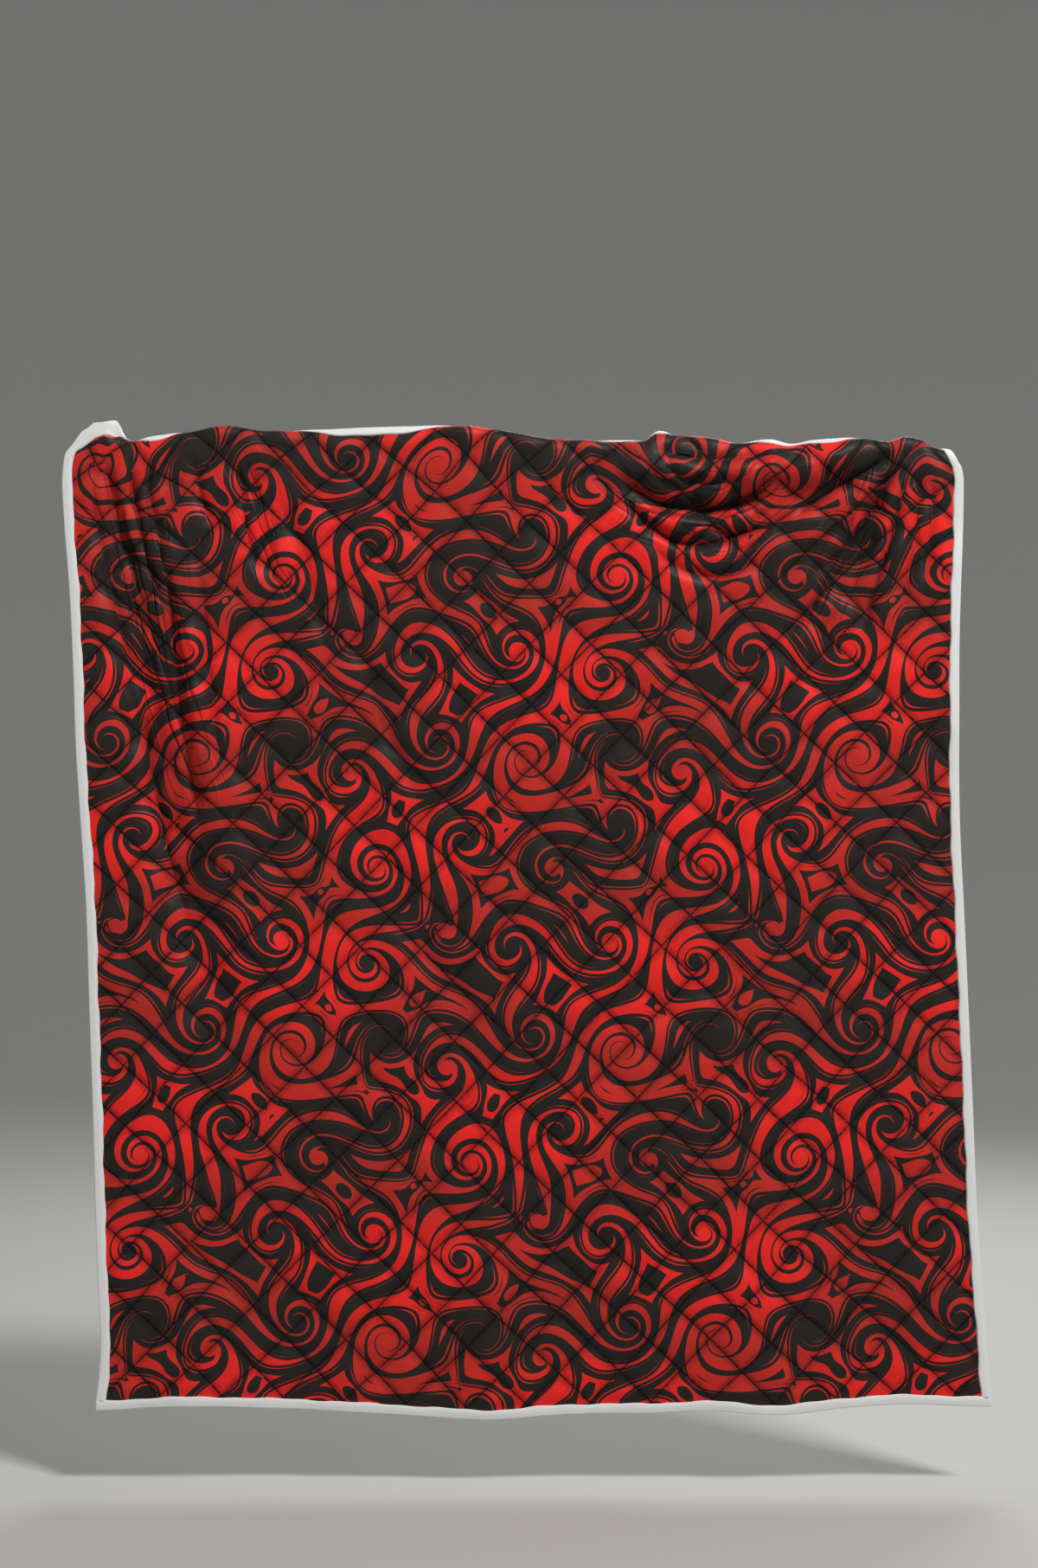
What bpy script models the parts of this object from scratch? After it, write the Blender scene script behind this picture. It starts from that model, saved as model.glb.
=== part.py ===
"""Quilted bedspread, hung face out by its top edge.

A filled and quilted cloth is stitched through in diamonds and bound all round with a folded
white strip. It hangs flat, its top edge turned back over a hidden fixing, with the folds,
the uneven edges and the standing corner of the real one.

Frame: metres, X to the right as seen from the front, Y to the back, Z up. The origin is the
middle of the top fold, where the cloth is held.
"""

from typing import NamedTuple

import bmesh
import bpy
import numpy as np
from mathutils import Vector
from mathutils.geometry import delaunay_2d_cdt

# Cut size
WIDTH = 2.032
LENGTH = 2.286

# Binding: a strip of cloth folded round the raw edge
BINDING = 0.023
LEAF = 0.001
GAP = 0.0003
RIM = LEAF + GAP

# Quilting: thickness at the stitches, and how far each diamond stands out in front and behind
SEAM_THICKNESS = 0.004
FRONT_CROWN = 0.005
BACK_CROWN = 0.0025
CROWN_ROUNDNESS = 0.8
CROWN_START = 0.030

# Diamonds: from crossing to crossing, and one crossing's place from the left and top edges
DIAMOND = 0.1392
CROSSING_ACROSS = 0.0752
CROSSING_DOWN = -0.0376

# Grid: its finest step, the steps between its coarse and its medium points, how near an edge
# of the grid they may come, and how far the cloth may leave a chord before points are added
FINEST = DIAMOND / 8
COARSE = 4
MEDIUM = 2
GRID_CLEAR = 0.010
MEDIUM_BEND = 0.0015
FINE_BEND = 0.0030

# Turned top edge: its radius, how far it usually turns in degrees, how softly the turn
# changes where the edge stands up, and the spacing of its rows
ROLL = 0.024
USUAL_TURN = 158.0
STAND_SOFTNESS = 1.5
ROLL_ROW = 0.0125
ROLL_ROWS = 4
ROLL_END = BINDING + ROLL_ROW * ROLL_ROWS

# Height the raw edge would reach unturned, and the length over which the cloth settles to it
UNTURNED_TOP = 0.033
SETTLE = 0.250

# Corners that are drawn in: how far across the cloth the pull and the lift reach
LEFT_PULL_REACH = 0.260
LEFT_LIFT_REACH = 0.080
RIGHT_PULL_REACH = 0.120

# How much of a fold's length fades out at each end, and the pieces its route is cut into
FOLD_FADE = 0.22
ROUTE_PIECES = 14

# Step for measuring the slope of the surface, and the distance at which flat points are one
PROBE = 0.0005
FLAT_MERGE = 0.000001

PRINT_RED = (0.42, 0.02, 0.015, 1.0)
BINDING_WHITE = (0.80, 0.80, 0.79, 1.0)


class SideRow(NamedTuple):
    """Left and right edges at one drop below the origin."""

    drop: float
    left: float
    right: float


class LineRow(NamedTuple):
    """Height of the top fold or of the hem, at one distance across the cloth."""

    across: float
    height: float


class Stand(NamedTuple):
    """A place where the top edge turns back less, and so stands up."""

    across: float
    half_width: float
    turn: float


class Pull(NamedTuple):
    """How far a corner is drawn sideways and up, at one distance down the cloth's side."""

    down: float
    shift: float
    lift: float


class Fold(NamedTuple):
    """A soft ridge (rise over 0) or trough along a bent route, in distances across and down."""

    across_1: float
    drop_1: float
    across_2: float
    drop_2: float
    across_3: float
    drop_3: float
    width: float
    rise: float


SIDES = (
    SideRow(0.100, -1.018, 1.013),
    SideRow(0.190, -1.014, 1.012),
    SideRow(0.340, -1.002, 1.006),
    SideRow(0.520, -0.993, 1.002),
    SideRow(0.700, -0.987, 1.002),
    SideRow(0.860, -0.977, 1.004),
    SideRow(1.080, -0.963, 1.014),
    SideRow(1.300, -0.956, 1.024),
    SideRow(1.530, -0.948, 1.034),
    SideRow(1.750, -0.942, 1.043),
    SideRow(1.930, -0.936, 1.056),
    SideRow(2.050, -0.930, 1.065),
    SideRow(2.120, -0.934, 1.070),
    SideRow(2.200, -0.942, 1.078),
)

TOP_LINE = (
    LineRow(0.000, 0.033),
    LineRow(0.045, 0.031),
    LineRow(0.060, 0.026),
    LineRow(0.075, 0.013),
    LineRow(0.090, -0.002),
    LineRow(0.104, -0.011),
    LineRow(0.140, -0.020),
    LineRow(0.181, -0.010),
    LineRow(0.278, 0.000),
    LineRow(0.374, 0.014),
    LineRow(0.474, 0.002),
    LineRow(0.560, 0.005),
    LineRow(0.716, 0.012),
    LineRow(0.870, 0.015),
    LineRow(0.978, 0.007),
    LineRow(1.081, -0.012),
    LineRow(1.204, -0.019),
    LineRow(1.312, -0.019),
    LineRow(1.347, 0.003),
    LineRow(1.380, -0.005),
    LineRow(1.419, -0.008),
    LineRow(1.530, -0.024),
    LineRow(1.597, -0.016),
    LineRow(1.647, -0.028),
    LineRow(1.700, -0.018),
    LineRow(1.804, -0.016),
    LineRow(1.865, -0.021),
    LineRow(1.904, -0.010),
    LineRow(1.943, -0.016),
    LineRow(1.976, -0.032),
    LineRow(2.032, -0.038),
)

HEM_LINE = (
    LineRow(0.000, -2.201),
    LineRow(0.198, -2.190),
    LineRow(0.437, -2.198),
    LineRow(0.649, -2.208),
    LineRow(0.887, -2.220),
    LineRow(1.073, -2.210),
    LineRow(1.232, -2.208),
    LineRow(1.392, -2.201),
    LineRow(1.551, -2.210),
    LineRow(1.712, -2.194),
    LineRow(1.869, -2.188),
    LineRow(2.032, -2.192),
)

STANDS = (
    Stand(0.010, 0.094, 0.0),
    Stand(0.205, 0.080, 84.0),
    Stand(0.700, 0.215, 56.0),
    Stand(1.258, 0.070, 112.0),
    Stand(1.347, 0.034, 100.0),
    Stand(1.660, 0.150, 122.0),
    Stand(1.597, 0.084, 122.0),
    Stand(1.735, 0.085, 103.0),
)

LEFT_PULL = (
    Pull(0.000, 0.070, -0.011),
    Pull(0.030, 0.045, -0.002),
    Pull(0.064, 0.025, 0.004),
    Pull(0.098, 0.006, 0.010),
    Pull(0.131, 0.002, 0.009),
    Pull(0.165, 0.000, 0.008),
    Pull(0.350, 0.000, 0.000),
)

RIGHT_PULL = (
    Pull(0.000, -0.045, 0.000),
    Pull(0.040, -0.040, 0.000),
    Pull(0.070, -0.030, 0.000),
    Pull(0.086, -0.014, 0.000),
    Pull(0.120, 0.000, 0.000),
)

FOLDS = (
    # Swag between the two fixings at the right: its bulge, and the hollow under it
    Fold(1.205, 0.051, 1.535, 0.149, 1.874, 0.020, 0.034, 0.026),
    Fold(1.215, 0.086, 1.451, 0.313, 1.874, 0.037, 0.028, -0.010),
    # Folds that run down and left from the right fixing
    Fold(1.874, 0.022, 1.812, 0.213, 1.779, 0.457, 0.026, -0.014),
    Fold(1.909, 0.027, 1.863, 0.233, 1.828, 0.506, 0.028, 0.010),
    Fold(1.846, 0.115, 1.747, 0.369, 1.689, 0.643, 0.024, -0.008),
    # Long trough down from the left fixing, and the ridge beside it
    Fold(0.125, 0.022, 0.121, 0.702, 0.336, 1.483, 0.050, -0.020),
    Fold(0.225, 0.057, 0.245, 0.702, 0.476, 1.483, 0.055, 0.012),
    # Shallow troughs in the middle
    Fold(0.418, 0.027, 0.440, 0.193, 0.467, 0.369, 0.018, -0.007),
    Fold(0.636, 0.780, 0.710, 1.092, 0.987, 1.522, 0.045, -0.008),
    Fold(1.264, 1.356, 1.397, 1.249, 1.529, 1.200, 0.035, -0.008),
    # Right edge, which curls forward
    Fold(2.008, 0.193, 2.003, 0.448, 2.006, 0.780, 0.040, 0.010),
    # Waves along the hem
    Fold(0.198, 2.300, 0.200, 2.060, 0.210, 1.820, 0.080, 0.012),
    Fold(0.470, 2.300, 0.465, 2.080, 0.460, 1.880, 0.080, -0.008),
    Fold(0.887, 2.300, 0.880, 2.060, 0.860, 1.800, 0.090, 0.011),
    Fold(1.150, 2.300, 1.150, 2.100, 1.150, 1.900, 0.080, -0.008),
    Fold(1.480, 2.300, 1.485, 2.080, 1.500, 1.850, 0.080, 0.010),
    Fold(1.800, 2.300, 1.800, 2.100, 1.790, 1.900, 0.080, -0.008),
)


def column(table, name):
    """One named column of a table."""
    return np.array([getattr(row, name) for row in table])


def follow(table, at, along, name):
    """Read a table's column as a smooth line that never passes its own rows' values."""
    knots = column(table, along)
    values = column(table, name)
    steps = np.diff(knots)
    slopes = np.diff(values) / steps
    before = slopes[:-1]
    after = slopes[1:]
    same_way = before * after > 0
    total = np.where(same_way, before + after, 1.0)
    inner = np.where(same_way, 2 * before * after / total, 0.0)
    tangents = np.concatenate(([0.0], inner, [0.0]))
    index = np.clip(np.searchsorted(knots, at) - 1, 0, len(steps) - 1)
    step = steps[index]
    t = np.clip((at - knots[index]) / step, 0, 1)
    rising = t * t * (3 - 2 * t)
    lead_in = t * (1 - t) ** 2 * step * tangents[index]
    lead_out = -t * t * (1 - t) * step * tangents[index + 1]
    return values[index] + rising * (values[index + 1] - values[index]) + lead_in + lead_out


def ease(t):
    """Smooth step from 0 to 1."""
    t = np.clip(t, 0, 1)
    return t * t * (3 - 2 * t)


def top_turn(across):
    """How far the top edge is turned back, in radians."""
    turn = np.full(np.shape(across), USUAL_TURN)
    for stand in STANDS:
        inside = np.clip(1 - ((across - stand.across) / stand.half_width) ** 2, 0, 1)
        turn = turn - (USUAL_TURN - stand.turn) * inside**STAND_SOFTNESS
    return np.radians(np.clip(turn, 0, USUAL_TURN))


def hanging(across, down):
    """The cloth's middle surface without its folds, and each point's height if unrolled."""
    turn = top_turn(across)
    rolled = ROLL * turn
    crest = follow(TOP_LINE, across, "across", "height")
    start = crest - ROLL * np.sin(np.minimum(turn, np.pi / 2))
    hem = follow(HEM_LINE, across, "across", "height")
    scale = (UNTURNED_TOP - hem) / LENGTH
    slack = UNTURNED_TOP - rolled * scale - start
    unrolled = start - (down - rolled) * scale + slack * ease((down - rolled) / SETTLE)
    angle = np.maximum(rolled - down, 0) / ROLL
    height = np.where(down < rolled, start + ROLL * np.sin(angle), unrolled)
    left = follow(SIDES, -height, "drop", "left")
    right = follow(SIDES, -height, "drop", "right")
    x = left + (right - left) * across / WIDTH
    y = -ROLL * np.cos(angle)
    near_left = 1 - ease(across / LEFT_PULL_REACH)
    near_right = 1 - ease((WIDTH - across) / RIGHT_PULL_REACH)
    x = x + near_left * follow(LEFT_PULL, down, "down", "shift")
    x = x + near_right * follow(RIGHT_PULL, down, "down", "shift")
    lifted = 1 - ease(across / LEFT_LIFT_REACH)
    height = height + lifted * follow(LEFT_PULL, down, "down", "lift")
    return np.stack((x, y, height), axis=-1), unrolled


def fold_relief(across, drop):
    """Sum of all folds at each point, as a distance towards the front."""
    t = np.linspace(0, 1, ROUTE_PIECES + 1)[:, None]
    total = np.zeros(np.shape(across))
    for fold in FOLDS:
        first = np.array((fold.across_1, fold.drop_1))
        middle = np.array((fold.across_2, fold.drop_2))
        last = np.array((fold.across_3, fold.drop_3))
        route = (1 - t) ** 2 * first + 2 * t * (1 - t) * middle + t * t * last
        nearest = np.full(np.shape(across), np.inf)
        along = np.zeros(np.shape(across))
        for piece, (start, end) in enumerate(zip(route[:-1], route[1:])):
            run = end - start
            offset_across = across - start[0]
            offset_drop = drop - start[1]
            share = np.clip((offset_across * run[0] + offset_drop * run[1]) / (run @ run), 0, 1)
            distance = np.hypot(offset_across - share * run[0], offset_drop - share * run[1])
            closer = distance < nearest
            nearest = np.where(closer, distance, nearest)
            along = np.where(closer, (piece + share) / ROUTE_PIECES, along)
        ends = ease(along / FOLD_FADE) * ease((1 - along) / FOLD_FADE)
        total = total + fold.rise * np.exp(-((nearest / fold.width) ** 2)) * ends
    return total


def facing(surface, across, down):
    """Unit vectors that point out of the front of a surface."""
    over = surface(across + PROBE, down) - surface(across - PROBE, down)
    under = surface(across, down + PROBE) - surface(across, down - PROBE)
    normal = np.cross(under, over)
    return normal / np.linalg.norm(normal, axis=-1, keepdims=True)


def middle(across, down):
    """The cloth's middle surface with its folds."""
    base, unrolled = hanging(across, down)
    out = facing(lambda a, d: hanging(a, d)[0], across, down)
    return base + out * fold_relief(across, -unrolled)[..., None]


def layer(across, down, offset):
    """Points at an offset in front of (over 0) or behind the middle surface."""
    out = facing(middle, across, down)
    return middle(across, down) + out * np.asarray(offset)[..., None]


def diamond_phase(across, down):
    """Place between the falling and between the rising stitch lines, whole on a line."""
    from_left = across - CROSSING_ACROSS
    from_top = down - CROSSING_DOWN
    return (from_left - from_top) / DIAMOND, (from_left + from_top) / DIAMOND


def crown(across, down):
    """How full the filling is, from 0 on a stitch line or the binding to 1 in a diamond."""
    falling, rising = diamond_phase(across, down)
    full = np.abs(np.sin(np.pi * falling) * np.sin(np.pi * rising)) ** CROWN_ROUNDNESS
    sides = np.minimum(across, WIDTH - across)
    ends = np.minimum(down, LENGTH - down)
    return full * ease((np.minimum(sides, ends) - BINDING) / CROWN_START)


def inset(across, down):
    """How far inside the middle of the quilt a point lies: past the seams and the turned top."""
    sides = np.minimum(across, WIDTH - across) - BINDING
    ends = np.minimum(down - ROLL_END, LENGTH - BINDING - down)
    return np.minimum(sides, ends)


def sag(across, down, reach):
    """How far the cloth leaves the straight chords that reach this far to each side."""
    here = middle(across, down)
    chord_across = (middle(across - reach, down) + middle(across + reach, down)) / 2
    chord_down = (middle(across, down - reach) + middle(across, down + reach)) / 2
    off_across = np.linalg.norm(here - chord_across, axis=-1)
    off_down = np.linalg.norm(here - chord_down, axis=-1)
    return np.maximum(off_across, off_down)


def stations(length, crossing, lead):
    """Grid lines from the edge through the seams, then in time with the diamonds."""
    step = MEDIUM * FINEST
    first = np.ceil((lead[-1] + GRID_CLEAR - crossing) / step)
    last = np.floor((length - BINDING - GRID_CLEAR - crossing) / step)
    free = crossing + np.arange(first, last + 1) * step
    return np.concatenate((lead, free, (length - BINDING, length - RIM)))


def quilt_lines():
    """Grid lines across and down the quilt, closer at the standing corner and the turned top."""
    turned = BINDING + ROLL_ROW * np.arange(ROLL_ROWS + 1)
    corner = CROSSING_ACROSS + FINEST * np.arange(-MEDIUM, MEDIUM + 1)
    across = stations(WIDTH, CROSSING_ACROSS, np.concatenate(((RIM, BINDING), corner)))
    down = stations(LENGTH, CROSSING_DOWN, np.concatenate(((RIM, BINDING / 2), turned)))
    return across, down


def grid_points(pillowed):
    """Columns and rows, counted from a crossing, of the points that one face's middle needs.

    Crossings and diamond centres are always there. pillowed adds points halfway between them,
    and more points come where the cloth bends.
    """
    col_range = np.arange(-COARSE, np.ceil(WIDTH / FINEST))
    row_range = np.arange(-COARSE, np.ceil(LENGTH / FINEST) + COARSE)
    cols, rows = np.meshgrid(col_range.astype(int), row_range.astype(int))
    inside = inset(*grid_place(cols, rows)) > GRID_CLEAR
    cols = cols[inside]
    rows = rows[inside]
    across, down = grid_place(cols, rows)
    coarse = (cols % COARSE == 0) & (rows % COARSE == 0)
    medium = (cols % MEDIUM == 0) & (rows % MEDIUM == 0)
    halfway = medium & ((cols + rows) % COARSE != 0)
    keep = coarse | (sag(across, down, FINEST) > FINE_BEND)
    keep |= medium & (sag(across, down, MEDIUM * FINEST) > MEDIUM_BEND)
    keep |= halfway & pillowed
    return cols[keep], rows[keep]


def grid_place(cols, rows):
    """Distances across and down of grid points."""
    return CROSSING_ACROSS + cols * FINEST, CROSSING_DOWN + rows * FINEST


def stitched_edges(cols, rows):
    """Pairs of grid points to join: along the stitches, and along their parallels between."""
    numbers = {spot: number for number, spot in enumerate(zip(cols.tolist(), rows.tolist()))}
    edges = []
    for (col, row), number in numbers.items():
        for step in (COARSE, MEDIUM, 1):
            if col % step or row % step or (col + row) // step % 2:
                continue
            for turn in (step, -step):
                other = numbers.get((col + step, row + turn))
                if other is not None:
                    edges.append((number, other))
    return edges


class Shape:
    """Vertices and faces of one piece, gathered before they go into a mesh."""

    def __init__(self):
        self.points = []
        self.order = []
        self.faces = []

    def add(self, across, down, offset):
        """Add points of the cloth and return their numbers in the same layout."""
        places = layer(across, down, offset)
        numbers = np.arange(np.size(across)) + len(self.points)
        self.points.extend(places.reshape(-1, 3).tolist())
        self.order.extend(np.ravel(across + down - offset).tolist())
        return numbers.reshape(np.shape(across))

    def quad(self, *corners):
        """Two triangles, always cut from the corner nearest the cloth's top left."""
        first = min(range(4), key=lambda i: self.order[corners[i]])
        a, b, c, d = corners[first:] + corners[:first]
        self.faces.extend(((a, b, c), (a, c, d)))

    def strip(self, one, two):
        """Join two equally long rows of vertices."""
        for i in range(len(one) - 1):
            self.quad(one[i], one[i + 1], two[i + 1], two[i])

    def fill(self, numbers, across, down, edges):
        """Triangles between numbered points that keep the given edges between them."""
        flat = [Vector(place) for place in zip(across.tolist(), down.tolist())]
        _, _, faces, sources, _, _ = delaunay_2d_cdt(flat, edges, [], 0, FLAT_MERGE)
        for face in faces:
            self.faces.append(tuple(numbers[sources[corner][0]] for corner in face))

    def build(self, name, colour, roughness):
        """Make the closed mesh object, with its faces pointing out."""
        mesh = bpy.data.meshes.new(name)
        faces = [tuple(int(number) for number in face) for face in self.faces]
        mesh.from_pydata(self.points, [], faces)
        shell = bmesh.new()
        shell.from_mesh(mesh)
        bmesh.ops.recalc_face_normals(shell, faces=shell.faces)
        bmesh.ops.triangulate(shell, faces=shell.faces)
        shell.to_mesh(mesh)
        shell.free()
        mesh.shade_smooth()
        mesh.materials.append(cloth_material(name, colour, roughness))
        piece = bpy.data.objects.new(name, mesh)
        bpy.context.scene.collection.objects.link(piece)
        return piece


def cloth_material(name, colour, roughness):
    """Plain cloth of one colour."""
    material = bpy.data.materials.new(name + "_cloth")
    material.use_nodes = True
    surface = material.node_tree.nodes["Principled BSDF"]
    surface.inputs["Base Color"].default_value = colour
    surface.inputs["Roughness"].default_value = roughness
    surface.inputs["Metallic"].default_value = 0.0
    return material


def add_face(shape, side, height, pillowed):
    """One face of the quilt, in front (side 1) or behind (side -1), with crowned diamonds.

    Its border and turned top are an even grid, and its middle is filled in between. Returns
    the vertex numbers of the even grid, which hold the face's outer ring.
    """
    across, down = quilt_lines()
    u, v = np.meshgrid(across, down)
    even = inset(u, v) < PROBE
    grid = np.full(u.shape, -1)
    u_even = u[even]
    v_even = v[even]
    offset = SEAM_THICKNESS / 2 + height * crown(u_even, v_even)
    grid[even] = shape.add(u_even, v_even, side * offset)
    for row, col in np.ndindex(grid.shape[0] - 1, grid.shape[1] - 1):
        corners = (grid[row, col], grid[row, col + 1], grid[row + 1, col + 1], grid[row + 1, col])
        if min(corners) >= 0:
            shape.quad(*corners)
    cols, rows = grid_points(pillowed)
    u_free, v_free = grid_place(cols, rows)
    offset = SEAM_THICKNESS / 2 + height * crown(u_free, v_free)
    free = shape.add(u_free, v_free, side * offset)
    ring = np.abs(inset(u, v)) < PROBE
    numbers = np.concatenate((free, grid[ring])).tolist()
    u_all = np.concatenate((u_free, u[ring]))
    v_all = np.concatenate((v_free, v[ring]))
    shape.fill(numbers, u_all, v_all, stitched_edges(cols, rows))
    return grid


def build_quilt():
    """The filled cloth: its two faces, joined by a wall round the raw edge."""
    shape = Shape()
    front = add_face(shape, 1, FRONT_CROWN, True)
    back = add_face(shape, -1, BACK_CROWN, False)
    for line in (np.s_[0], np.s_[-1], np.s_[:, 0], np.s_[:, -1]):
        shape.strip(front[line], back[line])
    return shape.build("quilt", PRINT_RED, 0.45)


def build_binding(name, place, lines, depths, closed):
    """A strip folded round the edge: two leaves and an outer wall, with a slot for the quilt.

    place turns a station and a distance in from the edge into distances across and down.
    closed strips have their ends sewn shut and hold the quilt's corners.
    """
    slot_offset = SEAM_THICKNESS / 2 + GAP
    depths = np.array(depths)
    fold_in = np.concatenate((depths[::-1], depths))
    side = np.concatenate((np.ones(len(depths)), -np.ones(len(depths))))
    slot_in = np.maximum(fold_in, LEAF)
    slot_lines = lines.copy()
    if closed:
        slot_lines[0] += LEAF
        slot_lines[-1] -= LEAF
    shape = Shape()
    loops = []
    walls = ((lines, fold_in, slot_offset + LEAF), (slot_lines, slot_in, slot_offset))
    for along, inward, offset in walls:
        s, w = np.meshgrid(along, inward)
        u, v = place(s, w)
        loops.append(shape.add(u, v, np.broadcast_to((side * offset)[:, None], u.shape)))
    outer, slot = loops
    for loop in loops:
        for row in range(len(fold_in) - 1):
            shape.strip(loop[row], loop[row + 1])
    shape.strip(outer[0], slot[0])
    shape.strip(outer[-1], slot[-1])
    half = len(depths)
    for end in (0, -1):
        if closed:
            for loop in loops:
                shape.strip(loop[:half, end], loop[half:, end][::-1])
            shape.quad(outer[0, end], outer[-1, end], slot[-1, end], slot[0, end])
        else:
            shape.strip(outer[:, end], slot[:, end])
    return shape.build(name, BINDING_WHITE, 0.6)


def build_bindings():
    """Top and bottom strips over the full width, and side strips that butt against them."""
    across, down = quilt_lines()
    full = np.concatenate(((0.0,), across[1:-1], (WIDTH,)))
    free = down[(down > BINDING) & (down < LENGTH - BINDING)]
    between = np.concatenate(((BINDING + GAP,), free, (LENGTH - BINDING - GAP,)))
    bent = (0.0, BINDING / 2, BINDING)
    flat = (0.0, BINDING)
    build_binding("binding_top", lambda s, w: (s, w), full, bent, True)
    build_binding("binding_bottom", lambda s, w: (s, LENGTH - w), full, flat, True)
    build_binding("binding_left", lambda s, w: (w, s), between, flat, False)
    build_binding("binding_right", lambda s, w: (WIDTH - w, s), between, flat, False)


def main():
    """Clear the scene and build every piece."""
    for old in list(bpy.data.objects):
        bpy.data.objects.remove(old)
    build_quilt()
    build_bindings()


main()
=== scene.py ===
"""Quilted bedspread hung face out: printed face, white back, white binding and its stitching.

Cloth coordinates are metres across from the left raw edge and down from the top raw edge. The
frame is metres too, X to the right as seen from the front, Y to the back, Z up, with the origin
in the middle of the top fold.
"""

import logging
from dataclasses import dataclass
from enum import Enum, IntEnum
from functools import partial, reduce
from itertools import product
from typing import NamedTuple

import bpy
import numpy as np
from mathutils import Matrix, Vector


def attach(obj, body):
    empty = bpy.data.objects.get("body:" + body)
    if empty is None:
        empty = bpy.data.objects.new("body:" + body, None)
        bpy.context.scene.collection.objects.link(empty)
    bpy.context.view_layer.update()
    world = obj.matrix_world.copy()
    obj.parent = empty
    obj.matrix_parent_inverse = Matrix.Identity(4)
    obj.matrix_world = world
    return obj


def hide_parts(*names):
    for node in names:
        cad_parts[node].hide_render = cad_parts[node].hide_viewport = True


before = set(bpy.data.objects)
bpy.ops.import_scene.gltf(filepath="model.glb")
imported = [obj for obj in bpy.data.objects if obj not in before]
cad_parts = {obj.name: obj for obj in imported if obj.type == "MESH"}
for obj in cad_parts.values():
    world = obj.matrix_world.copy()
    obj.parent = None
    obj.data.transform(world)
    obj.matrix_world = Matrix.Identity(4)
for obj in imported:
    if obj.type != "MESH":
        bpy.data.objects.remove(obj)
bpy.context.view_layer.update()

LOG = logging.getLogger("bedspread")
BODY = "root"
CLOTH_MAP = "cloth"
TURN = 2 * np.pi
HALF_TURN = float(np.pi)
# Stitch lines slant at 45 degrees: metres square to one for each metre across
SLANT = float(np.sqrt(0.5))

Array = np.ndarray
Socket = bpy.types.NodeSocket
Colour = tuple[float, float, float, float]
Inputs = dict[int | str, Socket | float | tuple]


class Face(IntEnum):
    """The two faces of the cloth, by the way from its middle."""

    FRONT = 1
    BACK = -1


class Side(Enum):
    """The four sides that are bound."""

    TOP = "binding_top"
    BOTTOM = "binding_bottom"
    LEFT = "binding_left"
    RIGHT = "binding_right"


@dataclass(frozen=True)
class Line:
    """A smooth line through pairs of place and value, that never passes its own pairs' values.

    The line is a cubic between each two pairs. Its slope at a pair is the harmonic mean of the
    slopes on both sides, or level where they differ in sign.
    """

    pairs: tuple[tuple[float, float], ...]

    def at(self, place: Array) -> Array:
        """Read the line.

        Args:
            place: Places to read.

        Returns:
            The value at each place.
        """
        knots, values = np.array(self.pairs).T
        steps = np.diff(knots)
        slopes = np.diff(values) / steps
        before = slopes[:-1]
        after = slopes[1:]
        same_way = before * after > 0
        total = np.where(same_way, before + after, 1.0)
        inner = np.where(same_way, 2 * before * after / total, 0.0)
        tangents = np.concatenate(([0.0], inner, [0.0]))
        index = np.clip(np.searchsorted(knots, place) - 1, 0, len(steps) - 1)
        step = steps[index]
        t = np.clip((place - knots[index]) / step, 0, 1)
        lead_in = t * (1 - t) ** 2 * step * tangents[index]
        lead_out = -t * t * (1 - t) * step * tangents[index + 1]
        return values[index] + ease(t) * (values[index + 1] - values[index]) + lead_in + lead_out


class Stand(NamedTuple):
    """A place where the top edge turns back less, and so stands up. The turn is in degrees."""

    across: float
    half_width: float
    turn: float


class Fold(NamedTuple):
    """A soft ridge (rise over 0) or trough along a bent route, in distances across and down."""

    across_1: float
    drop_1: float
    across_2: float
    drop_2: float
    across_3: float
    drop_3: float
    width: float
    rise: float


class Whorl(NamedTuple):
    """A centre that the print's strokes wind into, in metres within one repeat.

    arms is how many pairs of strokes meet there, under 0 where they turn the other way. wind is
    how fast they tighten, under 0 where red and ground follow in the other order. The eye is the
    half width, in radians of the strokes' phase, that the red has at the very centre.
    """

    x: float
    y: float
    arms: int
    wind: float
    eye: float


class Wave(NamedTuple):
    """A slow wave over the print: whole turns across and down one repeat, and where it starts."""

    across: int
    down: int
    start: float


class Lamp(NamedTuple):
    """A square area light: its place, its width in metres and its power in watts."""

    name: str
    place: tuple[float, float, float]
    size: float
    power: float


# The outline: each side's x by drop below the origin, and heights by distance across
LEFT_SIDE = Line((
    (0.100, -1.018), (0.190, -1.014), (0.340, -1.002), (0.520, -0.993), (0.700, -0.987),
    (0.860, -0.977), (1.080, -0.963), (1.300, -0.956), (1.530, -0.948), (1.750, -0.942),
    (1.930, -0.936), (2.050, -0.930), (2.120, -0.934), (2.200, -0.942),
))

RIGHT_SIDE = Line((
    (0.100, 1.013), (0.190, 1.012), (0.340, 1.006), (0.520, 1.002), (0.700, 1.002),
    (0.860, 1.004), (1.080, 1.014), (1.300, 1.024), (1.530, 1.034), (1.750, 1.043),
    (1.930, 1.056), (2.050, 1.065), (2.120, 1.070), (2.200, 1.078),
))

TOP_LINE = Line((
    (0.000, 0.033), (0.045, 0.031), (0.060, 0.029), (0.072, 0.013), (0.084, -0.004),
    (0.104, -0.011), (0.140, -0.020), (0.181, -0.010), (0.278, 0.000), (0.374, 0.014),
    (0.474, 0.002), (0.560, 0.005), (0.716, 0.012), (0.870, 0.015), (0.978, 0.007),
    (1.081, -0.012), (1.204, -0.019), (1.312, -0.019), (1.347, 0.003), (1.380, -0.005),
    (1.419, -0.008), (1.530, -0.024), (1.597, -0.016), (1.647, -0.028), (1.700, -0.018),
    (1.804, -0.016), (1.865, -0.021), (1.904, -0.010), (1.943, -0.016), (1.976, -0.032),
    (2.032, -0.038),
))

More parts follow.
